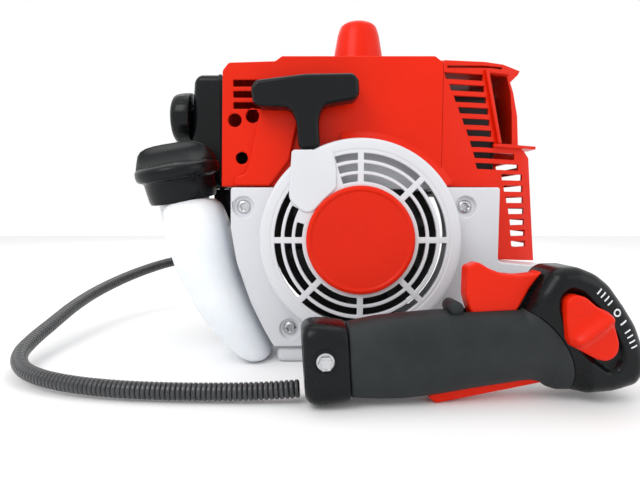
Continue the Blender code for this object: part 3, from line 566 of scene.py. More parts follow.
crank_z = 92.0
shell = rounded([(-92, 129), (-92.5, 100), (-88.5, 75), (-78.5, 45), (-69, 25), (-62, 12.6), (66, 12.6), (72, 25),
                 (84, 45), (95, 62), (139, 62), (143, 71.4), (101, 75), (101, 129)],
                [2, 20, 40, 60, 20, 4, 4, 10, 30, 8, 3, 3, 4, 2], 6)
pockets = [(-83, 115), (76.5, 115), (-50, 26), (50, 26)]
face = pierced("housing_face", white, [shell, circle(0, crank_z, 69.6, 120)] + [circle(x, z, 7.5) for x, z in pockets],
               -80, -77.2, 1.2)
skirt = [(0, -78.9), (0, -50.8), (0.8, -50), (1.9, -50), (2.6, -50.8), (2.6, -77.4)]
drum = soft([(70.2, -77.4 + 160), (70.2, 95), (61.2, 95), (61.2, 92.2), (67.3, 92.2), (67.3, 50), (70.2, 50)], 2.0, 5)
cup = soft([(7.6, 79.6), (7.1, 76.9), (2.9, 76.9), (2.9, 57.5), (9, 57.5), (9, 78.4)], 0.5)
body = surface("housing_body", white, (swept(shell, skirt), True, True, False),
               (spun([(70.2, 77.6), (70.2, 92.6), (69.9, 93.9), (69.0, 94.8), (67.8, 95.2), (63.6, 95.2), (62.4, 94.9),
                      (61.7, 94.2), (61.5, 93.2), (61.5, 92.2), (67.3, 92.2), (67.3, 50.5), (70.2, 50.5)],
                     (0, 0, crank_z), 144), True, True, False),
               *[(spun(cup, (x, 0, z), 40), True, True, False) for x, z in pockets], crease=40, weighted=True)

radii = np.array([36.6, 40.5, 45.4, 47.7, 52.8, 55.2, 59.8, 62.4])
steps = 14
web = np.degrees(np.arcsin(2.1 / radii))[:, None]
share = np.linspace(0, 1, steps + 1)[None, :]
columns = []
for k in range(8):
    low, high = 45 * k + web, 45 * k + 45 - web
    if k == 2:
        spread = np.where(share < 0.36, low + (107.5 - low) * share / 0.3571, 107.5 + (high - 107.5) * (share - 0.3571) / 0.6429)
    elif k == 3:
        start = np.array([164, 164, 164, 153, 153, 145, 145, 145])[:, None]
        spread = np.where(share < 0.36, low + (start - low) * share / 0.3571, start + (high - start) * (share - 0.3571) / 0.6429)
    else:
        spread = low + (high - low) * share
    columns.append(spread)
angles = np.radians(np.concatenate(columns, axis=1))
bars = np.stack([radii[:, None] * np.cos(angles), np.full(angles.shape, -94.9), crank_z + radii[:, None] * np.sin(angles)],
                axis=-1)
cell = np.arange(8 * (steps + 1))
sector, within = cell // (steps + 1), cell % (steps + 1)
opening = (within < steps) & ~((sector == 2) & (within >= 5)) & ~((sector == 3) & (within < 5))
kept = ~(np.isin(np.arange(7), (1, 3, 5))[:, None] & opening[None, :])
grille = surface("grille", white, (bars, True, False, False, kept), crease=40)
wall = grille.modifiers.new("depth of the bars", "SOLIDIFY")
wall.thickness, wall.offset = 0.0032, -1.0
edges = grille.modifiers.new("edges", "BEVEL")
edges.width, edges.segments, edges.limit_method, edges.angle_limit = 0.0006, 2, "ANGLE", radians(50)
grille.modifiers.new("flat faces stay flat", "WEIGHTED_NORMAL").keep_sharp = True

boss = rounded([(-49.5, 120), (-47.3, 153.9), (-21, 153.9), (-18.4, 151), (-16.6, 140), (-16.6, 128), (-25, 120), (-36, 108)],
               [8, 2.6, 2.6, 4, 8, 4, 20, 10], 6)
rope_boss = surface("rope_boss", white, (swept(boss, rim(-96.4, -80, 1.3, steps=4)), True, False, True),
                    (swept(rounded([(-46.6, 141), (-20.6, 141), (-20.6, 153.6), (-46.6, 153.6)], 2), rim(-96, -76.5, 1.5)), True, False, True),
                    crease=40, weighted=True)
for piece in (face, body, grille, rope_boss):
    seat(piece, "engine", "white_plastic", "starter_housing")

# ---- Badge and screws ----------------------------------------------------------------------------
# A blank glossy red disc with a raised rim clips over the starter's post.  Four zinc-plated screws
# with six-lobed sockets sit in the pockets.

red = moulded("red nylon", (0.72, 0.017, 0.002), 0.3, 0.000008, 700, 0.93, Specular_IOR_Level=0.14)
badge = turned("badge", red, [(0, 97.6), (33.0, 97.5), (33.8, 97.7), (34.3, 98.2), (35.2, 98.5), (36.4, 98.3), (37.2, 97.7),
                              (37.6, 96.8), (37.6, 94.8), (0, 94.8)], (0, 0, crank_z), 128)
seat(badge, "engine", "red_plastic", "centre_badge")


def lobes(angle, r, h):
    """Six lobes on the socket's wall, radius x (1 + 0.13 cos 6 angle), and none elsewhere."""
    return np.where((r < 2.75) & (r > 0.2), 1 + 0.17 * np.cos(6 * angle), 1.0)


for k, (x, z) in enumerate(pockets, 1):
    screw = turned("housing_screw_%d" % k, plated,
                   [(0, 74.6), (2.3, 74.7), (2.45, 77.9), (2.9, 78.3), (3.6, 78.2), (4.7, 77.6), (5.2, 76.8), (5.2, 74.0), (2.5, 74.0),
                    (2.5, 58.5), (0, 58.5)], (x, 0, z), 48, swing=lobes, crease=30)
    seat(screw, "engine", "steel", "starter_screw_%d" % k)

# ---- Recoil starter ------------------------------------------------------------------------------
# A black T-shaped grip, moulded hollow with a knot pocket, sits on the boss.  Its rope is a white
# braid that runs through a steel bushing to the reel.

pull_at, pull_lean = np.array([-35.0, -86.5, 151.8]), (0, radians(-4), 0)


def leant(points, at, turn):
    """Points turned by an Euler angle about the origin and then moved to a place."""
    return points @ np.array(Euler(turn).to_matrix()).T + np.array(at)


black = moulded("black nylon", (0.0036, 0.0050, 0.0058), 0.27, 0.000018, 1000, 0.75, Specular_IOR_Level=0.2)
tee = rounded([(-7.4, 3), (7.4, 3), (7.8, 22), (11, 31.5), (33, 33.6), (36.4, 37), (36.8, 46.5), (33.5, 51.4), (0, 53.2), (-33.5, 51.4),
               (-36.8, 46.5), (-36.4, 37), (-33, 33.6), (-11, 31.5), (-7.8, 22)], [3.6, 3.6, 20, 12, 6, 5, 5, 5, 80, 5, 5, 5, 6, 12, 20], 9)
grip = surface("starter_grip_moulding", black,
               (leant(swept(tee, rim(-9, 9, 3.4, 3.6, 7)), pull_at, pull_lean), True, False, True), crease=60, weighted=True)
seat(grip, "starter_pull", "black_plastic", "starter_grip")

braid = Paint("braided rope")
strands = braid.node("TexWave", {"wave_type": "BANDS", "bands_direction": "DIAGONAL"},
                     {"Vector": braid.place, "Scale": 380.0, "Distortion": 1.0, "Detail": 1.0}, 1)
braid.give(Base_Color=braid.blend(strands.between(0.2, 0.8), (0.42, 0.41, 0.39), (0.78, 0.78, 0.75)),
           Roughness=0.75 + strands * 0.1, Normal=braid.bump(strands, 0.00025))
rope = surface("starter_rope_braid", braid.material,
               (leant(spun([(0, 50), (3, 49.6), (4.6, 47.5), (4.6, 44.5), (3, 42.4), (1.8, 42.2)] +
                           [(1.8, h) for h in np.linspace(40, -44, 60)] + [(0, -44)], (0, 0, 0), 20, "Z"),
                      pull_at, pull_lean), True, False, False), crease=60)
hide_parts("starter_rope")
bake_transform(rope)
dress = {"rope_reel": black, "ignition_coil": blued, "spark_plug": plated}


# ---- Engine shroud -------------------------------------------------------------------------------
# Glossy red nylon cover over the cylinder: a front with a recessed vent panel at its upper left, a
# raised fairing beside the rope, and a skirt round the drum.

arch = np.stack([70.6 * np.cos(np.radians(np.linspace(32.4, 147.6, 40))),
                 crank_z + 70.6 * np.sin(np.radians(np.linspace(32.4, 147.6, 40)))], axis=1)
hood = np.vstack([rounded([(-99.5, 129.8), (-97.5, 212), (-93, 217.5), (-60, 218.5), (-55, 222), (54, 222), (58, 219), (60, 219),
                           (60, 129.8)], [0.5, 3, 3, 2, 2, 2, 1, 1, 0.5], 4), arch])
slits = [rounded([(-90, z - 2.4), (-57 - 2 * k, z - 2.4), (-55.6 - 2 * k, z + 2.3), (-90, z + 2.3)], 0.7, 3)
         for k, z in enumerate((203.2, 195.4, 187.6))]
rounds = [circle(-89.2, 177.2, 4.8, 32), circle(-76.4, 180, 4.8, 32), circle(-84.6, 150.3, 4.4, 32)]
hood_face = pierced("shroud_face", red, [hood] + slits + rounds, -74, -71.5, 0.7)
cover_path = rounded([(-99.5, 129.8), (-97.5, 212), (-93, 217.5), (-60, 218.5), (-55, 222), (54, 222), (58, 219), (60, 219), (60, 129.8)],
                     [0.5, 3.5, 3.5, 2.5, 2.5, 2.5, 1, 1, 0.5], 6)
cover_path = cover_path[(cover_path[:, 1] > 129.9) | (cover_path[:, 0] < 0)]
cover_path = cover_path[(cover_path[:, 0] < 59.9) | (cover_path[:, 1] > 216)]


def arched(path, section, lay=front):
    """A closed section of (inset, depth) carried along an open path: point - inset x its left normal."""
    e = np.diff(path, axis=0)
    e /= np.linalg.norm(e, axis=1, keepdims=True)
    e = np.vstack([e[:1], e[:-1] + e[1:], e[-1:]])
    e /= np.linalg.norm(e, axis=1, keepdims=True)
    normal = np.stack([-e[:, 1], e[:, 0]], axis=1)
    inset, depth = np.array(section, float).T
    flat = path[:, None] - normal[:, None] * inset[None, :, None]
    return lay(np.concatenate([flat, np.broadcast_to(depth[None, :, None], (*flat.shape[:2], 1))], axis=-1))


skin = [(2.6, -72), (1.2, -73.7), (0.35, -72.9), (0, -71.2), (0, 41.2), (0.35, 42.9), (1.2, 43.7), (2.6, 43), (2.6, 41)]
hood_skin = surface("shroud_skin", red, (arched(cover_path, skin), True, False, True), crease=50, weighted=True)
rear = np.stack([47 * np.cos(np.radians(np.linspace(53.6, 126.4, 30))),
                 crank_z + 47 * np.sin(np.radians(np.linspace(53.6, 126.4, 30)))], axis=1)
outlets = [rounded([(-36, z - 2.5), (36, z - 2.5), (36, z + 2.5), (-36, z + 2.5)], 1.2, 3) for z in (206, 196, 186, 176, 166, 156)]
hood_back = pierced("shroud_back", red, [np.vstack([rounded([(-99.5, 129.8), (-97.5, 212), (-93, 217.5), (-60, 218.5), (-55, 222), (54, 222),
                                                             (58, 219), (60, 219), (60, 129.8)], 1, 2), rear])] + outlets, 41.5, 44, 0.7)
fairing = surface("shroud_fairing", red,
                  (swept(rounded([(-70.4, 184.5), (-68.6, 202), (-44, 202), (-43, 176.7), (-44.4, 171), (-49.5, 148.6), (-64, 129.9), (-90.2, 129.9),
                                  (-90.2, 134.6), (-88.2, 137.6), (-81.6, 139.2), (-78.8, 148.6)],
                                 [8, 8, 8, 10, 10, 6, 3, 1.5, 2, 2, 4, 10], 7), rim(-78.4, -72, 1.8, 3.0, 6, 0.1)), True, False, True),
                  crease=50, weighted=True)
flare = surface("shroud_drum_flare", red,
                (np.stack([np.stack([r * np.cos(np.radians(np.linspace(31, 100, 60))), np.full(60, y),
                                     crank_z + r * np.sin(np.radians(np.linspace(31, 100, 60)))], axis=-1)
                           for r, y in ((71.0, -72.5), (71.0, -77.2), (71.5, -78.0), (72.4, -78.2), (74.0, -77.2), (76.5, -74.5),
                                        (79.5, -73.2), (79.5, -72.5))]).transpose(1, 0, 2), True, False, True),
                crease=50, weighted=True)
for piece in (hood_face, hood_skin, hood_back, fairing, flare):
    seat(piece, "engine", "red_plastic", "engine_shroud")

dome = turned("plug_dome", red, soft([(0, 268), (10.5, 267.6), (15, 264.8), (17.3, 258), (20, 243), (22.2, 226), (25, 222.3), (20.6, 222.3),
                                      (17.7, 243), (15.4, 257), (13, 262.5), (9.5, 265), (0, 265.3)], 2.2, 4), (4, -5, 0), 96, "Z")
seat(dome, "engine", "red_plastic", "plug_cover")

# ---- Muffler and its guard -----------------------------------------------------------------------
# A pressed steel muffler behind a red nylon guard, whose front folds back in two facets and is cut
# into louvres, with an open frame beside the shroud.

seat(finer("muffler_guard", red, 0.5), "engine", "red_plastic")


def folded(flat):
    """Points (across, up, depth) laid on the guard's front, which folds back towards its outer side."""
    return np.stack([flat[..., 0], np.interp(flat[..., 0], [60, 92, 128, 146], [-73, -66, -48, -36]) + flat[..., 2], flat[..., 1]], axis=-1)


frame_line = rounded([(91.6, 214.4), (96, 215.6), (114, 215.9), (114, 212.9), (95.4, 212.3), (108.2, 162.2), (105.0, 162.2)], [1, 3, 0.8, 0.8, 0.5, 0.8, 0.8], 4)
frame = surface("guard_frame", red, (swept(frame_line, rim(-2.8, 0.6, 0.8, steps=4), folded), True, False, True), crease=50, weighted=True)
seat(frame, "engine", "red_plastic", "muffler_guard")
sooty = worked("sooted steel", (0.03, 0.03, 0.03), 0.6, metal=0.3)
seat(finer("muffler", sooty, 0), "engine", "steel")
seat(finer("cylinder", alloy, 0), "engine", "cast_aluminium")

# ---- Carburettor, choke and air filter -----------------------------------------------------------
# A small alloy carburettor with a rubber primer bulb feeds through a black filter case, which is
# held by a big fluted knob.

seat(finer("carburettor", alloy, 0.6), "engine", "cast_aluminium")
rubber = moulded("black rubber", (0.02, 0.02, 0.021), 0.62, 0.00004, 1300, 0.75)
foam = moulded("filter foam", (0.05, 0.05, 0.055), 0.95, 0.0004, 900, 0.6)
seat(finer("air_filter_base", black, 0.5), "engine", "black_plastic")
case_edge = rounded([(-28.5, 130), (48.5, 130), (48.5, 221.5), (-28.5, 221.5)], [9, 9, 12, 6], 9)


def sideways(flat):
    """Points (along Y, up, depth) laid with depth along +X."""
    return flat[..., [2, 0, 1]]


def leaning(flat):
    """Points laid sideways, the case's outer wall sloping in above mid-height."""
    out = sideways(flat)
    slope = np.clip((out[..., 2] - 160) / 60, 0, 1.1) ** 1.5 * np.clip((-104 - out[..., 0]) / 32, 0, 1)
    return out + np.stack([7.0 * slope, np.zeros_like(slope), np.zeros_like(slope)], axis=-1)


q = np.linspace(0, np.pi / 2, 8)
section = [(7 * (1 - np.sin(a)), -136 + 8 * (1 - np.cos(a))) for a in q] + [(0, -112), (-0.8, -111.2), (-0.8, -108.8), (0, -108), (0, -104.3),
                                                                         (2.4, -104.3), (2.4, -127), (3.6, -131), (7, -133.4)]
case_shell = surface("filter_case", black, (swept(case_edge, section, leaning), True, True, False), crease=50, weighted=True)
case_face = pierced("filter_case_face", black, [rounded([(-21, 137.5), (41, 137.5), (41, 214), (-21, 214)], 6, 6),
                                                circle(-12, 188, 3.5, 24)], -136, -133.4, 0.2, leaning)
for piece in (case_shell, case_face):
    seat(piece, "engine", "black_plastic", "air_filter_cover")


def flutes(angle, r, h):
    """Twelve finger flutes on the knob's wall, deepest at the middle of its height."""
    return np.where((r > 20.6) & (h > 133.8), 1 - 0.012 * np.clip(np.cos(12 * angle), 0, 1) ** 2, 1.0)


knob = turned("filter_knob_moulding", black,
              [(0, 149.5), (13, 149.5), (17, 149.0), (19.2, 147.6), (20.4, 145.4), (21.0, 143), (21.4, 139), (21.5, 134.6), (21.2, 133.6), (20.4, 133.2),
               (3, 133.2), (3, 101), (0, 101)],
              (0, -12, 188), 144, "-X", flutes, crease=50)
seat(knob, "filter_screw", "black_plastic", "filter_knob")
dress.update(primer_bulb=rubber, air_filter_element=foam, plug_boot=rubber, ignition_lead=rubber, cap_seal=rubber)

# ---- Fuel tank and cap ---------------------------------------------------------------------------
# Blow-moulded milky polyethylene, bent to follow the starter housing, with a black screw cap whose
# tall bar is the finger grip.

milky = Paint("milky polyethylene", Subsurface_Weight=0.35, Subsurface_Scale=0.012, Specular_IOR_Level=0.4)
milky.shader.inputs["Subsurface Radius"].default_value = (0.9, 1.0, 1.2)
ripple = milky.noise(28, 4, 0.55)
milky.give(Base_Color=milky.blend(ripple.between(0.3, 0.7), (0.77, 0.81, 0.86), (0.86, 0.89, 0.92)),
           Roughness=0.32 + ripple * 0.16, Normal=milky.bump(milky.noise(60, 4, 0.6), 0.0004))
left = [(-81, 0.9), (-85, 1.8), (-91, 5.5), (-99, 13), (-111, 26), (-121.5, 41), (-130, 56), (-136.5, 71), (-141, 86), (-143.6, 98),
        (-144.6, 106), (-144.8, 112), (-144.6, 116), (-143.6, 118.4)]
right = [(-72, 0.9), (-67.6, 1.8), (-65.2, 5), (-66.5, 12), (-72, 24), (-77, 34), (-82.5, 46), (-88, 60), (-92, 74), (-95, 89),
         (-98, 102), (-101, 111), (-104, 117.4), (-108.5, 121.4)]
deep = [17, 24, 29, 32, 34, 35, 35, 35, 35, 34.6, 33.6, 31.5, 28.5, 25]
edge = flowing(np.hstack([left, right, np.array(deep)[:, None]]), 90)
u = np.linspace(0, 2 * np.pi, 96, endpoint=False)
across_c = np.sign(np.cos(u)) * np.abs(np.cos(u)) ** (2 / 2.4)
across_s = np.sign(np.sin(u)) * np.abs(np.sin(u)) ** (2 / 2.4)
middle, half = (edge[:, :2] + edge[:, 2:4]) / 2, (edge[:, 2:4] - edge[:, :2]) / 2
flat = middle[:, None] + half[:, None] * across_c[None, :, None]
tank_points = np.stack([flat[..., 0], -57 + edge[:, 4:5] * across_s[None, :], flat[..., 1]], axis=-1)
cap_at, cap_lean = (-131.0, -60.0, 122.0), (radians(8), radians(-9), 0)
neck = [(18.6, -16), (18.6, -1.6), (19.4, -0.9), (20.4, -0.4), (20.4, 10.2), (19.8, 11), (18.2, 11), (17.6, 10.2), (17.6, -14)]
tank = surface("fuel_tank_moulding", milky.material, (tank_points, True, False, True),
               (leant(spun(neck, (0, 0, 0), 64, "Z"), cap_at, cap_lean), True, True, False), crease=60)
seat(tank, "engine", "tank_plastic", "fuel_tank")


cap_profile = [(0, 29.0), (10, 28.6), (20, 27.4), (27, 25.8), (29.6, 24.7), (30.7, 23.2), (31.0, 20.5), (30.7, 17.6), (29.8, 16.2), (28.4, 15.4),
               (26.8, 14.8), (26.0, 13.4), (25.6, 8), (25.0, 1.0), (24.2, -1.2), (21.8, -1.3), (21.2, 0), (21.2, 13.4), (0, 13.4)]
bar_x = np.array([-29.6, -29.2, -28.2, -26.6, -24, -20, -14, -6, 4, 12, 18, 22, 25.4, 28, 29.3, 29.6])
bar_h = np.array([24.0, 27.5, 31.5, 35.5, 38.2, 39.8, 40.7, 41, 41, 40.6, 39.4, 37.4, 34.4, 30.6, 27, 24.0])
t = np.linspace(0, 1, 15)
side_z = 1 - (1 - t) ** 1.6
side_w = 2.6 * np.sqrt(np.clip(1 - t ** 6, 0, 1)) + 24 * (1 - t) ** 3.0
fits = np.sqrt(np.clip(1 - (bar_x / 30.2) ** 2, 0.02, 1))[:, None]
side_w = np.minimum(side_w[None, :], 3.2 + 26 * fits) * np.where(t > 0.6, 1, fits ** (1 - t / 0.6))
rise = 23 + (bar_h[:, None] - 23) * side_z[None, :]
across2 = np.concatenate([-side_w, side_w[:, ::-1]], axis=1)
bar = np.stack([np.broadcast_to(bar_x[:, None], across2.shape), across2, np.concatenate([rise, rise[:, ::-1]], axis=1)], axis=-1)
cap = surface("fuel_cap_moulding", black,
              (leant(spun(cap_profile, (0, 0, 0), 128, "Z"), cap_at, cap_lean), True, False, False),
              (leant(bar, cap_at, cap_lean), True, False, True), crease=50)
seat(cap, "cap", "black_plastic", "fuel_cap")
hose = Paint("fuel hose", Specular_IOR_Level=0.6)
tint = hose.noise(90, 3)
hose.give(Base_Color=hose.blend(tint, (0.62, 0.52, 0.22), (0.78, 0.72, 0.46)), Roughness=0.25 + tint * 0.1,
          Normal=hose.bump(hose.noise(500), 0.00002))
dress["fuel_line"] = hose.material

# ---- Clutch and output flange --------------------------------------------------------------------
# The centrifugal clutch's drum turns in a bearing inside a die-cast bell; the bell's flange takes the
# flexible shaft on four bolts.

flange = pierced("output_flange", alloy, [circle(0, crank_z, 46, 120), circle(0, crank_z, 14, 64)] +
                 [circle(x, crank_z + z, 3.3, 24) for x in (-27, 27) for z in (-27, 27)], 78, 86, 0.7)
bell = turned("clutch_bell", alloy, soft([(30, 78.4), (30, 71), (44, 62), (44, 34.5), (40, 34.5), (40, 62), (22, 64.5), (16.3, 64.5), (16.3, 74.3),
                                          (14.2, 74.3), (14.2, 78.4)], 1.2), (0, 0, crank_z), 120, "Y")
for piece in (flange, bell):
    seat(piece, "engine", "cast_aluminium", "clutch_housing")
seat(finer("clutch_drum", ground, 0.3), "output", "steel")

# ---- Conduit gland -------------------------------------------------------------------------------
# A black nylon gland grips the conduit's end in a zinc-plated bracket bolted to the clutch flange.

seat(finer("cable_bracket", plated, 0.4), "engine", "steel")
seat(finer("engine_gland", black, 0.4), "engine", "black_plastic")

# ---- Control handle ------------------------------------------------------------------------------
# A soft dark grip with a black clamp at one end and a black switch head at the other.  The throttle
# trigger stands in a slot above it, its lockout lever in one below, and the red stop switch in a dish.

hand_at, hand_turn = (-38.0, -155.0, 26.4), (0, radians(-3), radians(4))


def in_hand(flat):
    """Points (along the grip, towards the trigger, depth) laid in the handle's own frame."""
    return leant(front(flat), hand_at, hand_turn)


def oval(x, top, low, wide, s, power):
    """Superellipse sections across an axis: (x, middle + half height sin^p, half width cos^p), p = 2 / power."""
    round_c = np.sign(np.cos(s)) * np.abs(np.cos(s)) ** (2 / power)
    round_s = np.sign(np.sin(s)) * np.abs(np.sin(s)) ** (2 / power)
    x, top, low, wide = (np.broadcast_to(v[:, None], s.shape) for v in (x, top, low, wide))
    return np.stack([x, (top + low) / 2 + (top - low) / 2 * round_s, wide * round_c], axis=-1)


x = np.array([0, 0.25, 1, 2.6, 5, 9, 14, 20, 24.4, 25.1, 25.4])
turn = np.broadcast_to(np.linspace(0, 2 * np.pi, 96, endpoint=False), (11, 96))
jaw = oval(x, np.array([18.4, 19.3, 20.8, 22.4, 23.3, 23.5, 23.0, 21.8, 20.8, 20.5, 20.1]),
           np.array([-19.5, -20.4, -21.8, -23.6, -24.8, -25.0, -24.7, -24.2, -23.8, -23.5, -23.1]),
           np.array([14.0, 14.9, 15.9, 16.8, 17.3, 17.5, 17.5, 17.4, 17.2, 16.9, 16.5]), turn, 3.6)
bore = np.stack([np.broadcast_to(np.array([25.4, 0.8, 0.0])[:, None], (3, 96)), 3 + np.array([12.8, 12.8, 13.4])[:, None] * np.sin(turn[:3]),
                 np.array([12.8, 12.8, 13.4])[:, None] * np.cos(turn[:3])], axis=-1)
collar = spun([(7.3, 17.2), (7.2, 17.75), (6.7, 17.95), (6.2, 17.75), (6.1, 17.2)], (12, 0, 3), 64)
clamp = surface("handle_clamp_moulding", black, (in_hand(np.concatenate([jaw, bore])), True, True, False),
                (leant(collar, hand_at, hand_turn), True, True, False), crease=50)
seat(clamp, "handle", "black_plastic", "handle_clamp")

skin = Paint("soft grip", Specular_IOR_Level=0.3)
pebble = skin.node("TexVoronoi", {"feature": "F1"}, {"Vector": skin.place, "Scale": 900.0})
worn = skin.noise(40, 5, 0.6)
skin.give(Base_Color=skin.blend(worn.between(0.35, 0.7), (0.0105, 0.0140, 0.0155), (0.0180, 0.0222, 0.0240)),
          Roughness=0.5 + (worn - 0.5) * 0.14 + pebble * 0.08, Normal=skin.bump(pebble, 0.00009))
seam = np.array([(130.0, 22.4), (135.8, 18.4), (141.9, 12.6), (146.7, 6.5), (151.1, -0.9), (154.4, -8.9), (155.9, -16), (156.3, -22), (156.4, -28.7)])


def girth(x):
    """Top, bottom and half width of the grip, which swells into the head, at each place along it."""
    top = np.interp(x, [25.8, 34, 44, 60, 76, 98, 129.5, 131, 136, 144.2, 149, 159.7, 200],
                    [20.2, 21.6, 23.0, 23.7, 24.0, 23.8, 23.1, 24.2, 33.5, 44.6, 46.6, 46.2, 40])
    low = np.interp(x, [25.8, 42, 56, 72, 84, 96, 126, 132, 138.5, 143.5, 149, 157, 200],
                    [-23.3, -25.2, -26.2, -25.8, -24.8, -23.6, -21.2, -20.9, -22.4, -25.6, -28.3, -28.9, -28.9])
    return top, low, np.interp(x, [25.8, 60, 100, 130, 150, 200], [16.6, 16.5, 16.0, 16.2, 17.4, 17.8])


x = np.unique(np.concatenate([[25.8, 26.0, 26.6, 27.8, 67, 94.6, 129.5, 130, 144.2, 155.2, 155.7, 156, 156.2, 156.33, 156.4], np.linspace(29.5, 154, 88)]))
top, low, wide = girth(x)
kernel = np.array([1, 2, 3, 2, 1]) / 9
low[6:-12] = np.convolve(low, kernel, "same")[6:-12]
tuck = np.interp(x, [25.8, 26.0, 26.6, 27.8], [0.92, 0.95, 0.98, 1.0])
top, low, wide = top * tuck, low * tuck, wide * tuck
ceiling = np.where(x < 130, 99, np.interp(x, *seam.T))
lift = np.clip((ceiling - (top + low) / 2) / ((top - low) / 2), -1, 1)
high = np.minimum(np.arcsin(np.sign(lift) * np.abs(lift) ** 1.25), np.arccos((6.2 / wide) ** 1.25))[:, None]
deep = -np.maximum(np.arccos((6.3 / wide) ** 1.25)[:, None], 0.01 - high)
side, strip = np.linspace(0, 1, 42)[None, :], np.linspace(0, 1, 8)[None, 1:-1]
around = np.concatenate([high + (deep - high) * side, deep + (-np.pi - 2 * deep) * strip, -np.pi - deep + (deep - high) * side,
                         -np.pi - high + (2 * high - np.pi) * strip], axis=1)
shape = oval(x, top, low, wide, around, 2.5)
shape[..., 1] = np.minimum(shape[..., 1], ceiling[:, None])
bridge = shape[:, 89:90, 2] + (shape[:, :1, 2] - shape[:, 89:90, 2]) * np.arange(1, 7) / 7
shape[:, 90:96, 2] = np.where(x[:, None] < 130, shape[:, 90:96, 2], bridge)
first, last = np.searchsorted(x, 94.6), np.searchsorted(x, 129.5)
start, end = np.searchsorted(x, 67), np.searchsorted(x, 144.2)
row, column = np.arange(len(x) - 1)[:, None], np.arange(96)[None, :]
kept = ~(((row >= first) & (row < last) & (column >= 89)) | ((row >= start) & (row < end) & (column >= 41) & (column < 48)))


def pocket(a, b, columns, floor):
    """A slot's walls: its rim, taken from rows a to b of the grip, carried to a level and closed there."""
    ring = np.concatenate([shape[a, columns], shape[a + 1:b, columns[-1]], shape[b, columns[::-1]], shape[a + 1:b, columns[0]][::-1]])
    level, middle = ring.copy(), np.broadcast_to(ring.mean(axis=0), ring.shape).copy()
    level[:, 1] = middle[:, 1] = floor
    return np.stack([ring, level, middle])


stop = spun([(0, 8.2), (3.4, 8.0), (4.2, 7.0), (4.2, -7.0), (3.4, -8.0), (0, -8.2)], (90, 0, 25.4), 40)
grip_piece = surface("handle_grip_moulding", skin.material, (in_hand(shape), True, False, True, kept),
                     (in_hand(pocket(first, last, np.append(np.arange(89, 96), 0), 3.0)), True, False, False),
                     (in_hand(pocket(start, end, np.arange(41, 49), -9.5)), True, False, False),
                     (leant(stop, hand_at, hand_turn), True, False, False), crease=50)
seat(grip_piece, "handle", "grip_plastic", "handle_grip")


def evenly(line, count, closed=True):
    """A line's points moved to equal steps along it."""
    line = np.vstack([line, line[:1]]) if closed else np.asarray(line, float)
    run = np.append(0, np.cumsum(np.linalg.norm(np.diff(line, axis=0), axis=1)))
    at = np.linspace(0, run[-1], count, endpoint=not closed)
    return np.stack([np.interp(at, run, line[:, 0]), np.interp(at, run, line[:, 1])], axis=1)


def apart(points, line):
    """The distance of every point from a closely spaced line."""
    flat = points.reshape(-1, 2)
    return np.sqrt(((flat[:, None] - line[None]) ** 2).sum(-1).min(1)).reshape(points.shape[:-1])


def eased(v):
    """Zero, then a smooth rise to one: 3 v^2 - 2 v^3 between 0 and 1."""
    v = np.clip(v, 0, 1)
    return v * v * (3 - 2 * v)


def bowed(distance, full, radius):
    """The height of a face whose edge is a quarter circle, at each distance from that edge."""
    return full - radius * (1 - np.sqrt(1 - (1 - np.clip(distance / radius, 0, 1)) ** 2))


def drawn_in(outline, middle, shares, inner=None, within=()):
    """Rings from an outline to a point, or to an inner outline and then on to the point."""
    reach = outline - middle
    length, angle = np.hypot(*reach.T), np.arctan2(reach[:, 1], reach[:, 0])
    stop = 0 * length
    if inner is not None:
        spoke = inner - middle
        order = np.argsort(np.arctan2(spoke[:, 1], spoke[:, 0]))
        stop = np.interp(angle, np.arctan2(spoke[:, 1], spoke[:, 0])[order], np.hypot(*spoke.T)[order], period=2 * np.pi)
    far = np.concatenate([length + (stop - length) * np.array(shares)[:, None], stop * (1 - np.array(within).reshape(-1, 1))])
    return middle + far[..., None] * (reach / length[:, None])[None]


head_line = evenly(rounded([(130.5, 22.6), (136, 33.5), (144.2, 44.6), (149, 46.6), (159.7, 46.2), (169.9, 41.6), (177.8, 34.9), (186.3, 22.6),
                            (193.7, 10.2), (197.8, -1.8), (199.6, -10.4), (198.4, -18.9), (193.9, -25.5), (180.2, -28.6), (157, -28.9), (156.9, -22),
                            (156.5, -16), (155, -8.8), (151.7, -0.6), (147.3, 6.8), (142.5, 12.9), (136.4, 18.8)],
                           [0.4, 20, 9, 7, 14, 20, 24, 30, 30, 24, 10, 10, 8, 30, 0.6, 20, 20, 20, 20, 20, 20, 20], 6), 300)
dish_line = evenly(rounded([(145.2, 31.3), (151.7, 36.9), (159.8, 33.8), (169.2, 23.4), (179, 8.6), (184.3, -0.8), (184.9, -9.1), (181, -15.8), (174.2, -17.4),
                            (161.6, -8.2), (153.4, 2.8), (148.4, 12.3), (144.8, 22)], [6, 5, 6, 20, 20, 12, 6, 5, 6, 14, 14, 14, 14], 6), 240)
joint = evenly(seam + [0.5, 0], 160, False)
shoulder = head_line[apart(head_line, joint) > 0.5]


def head_front(points):
    """Half the head's thickness: rounded at its outline, and flush with the grip along their seam."""
    top, low, wide = girth(points[..., 0])
    across = np.clip(np.abs((points[..., 1] - (top + low) / 2) / ((top - low) / 2)), 0, 0.995)
    near_grip = apart(points, joint)
    own = bowed(apart(points, shoulder), 18.5, 9.0)
    blend = eased(near_grip / 9)
    return own * blend + wide * (1 - across ** 2.5) ** 0.4 * (1 - blend) - 0.5 * np.exp(-near_grip / 0.5)


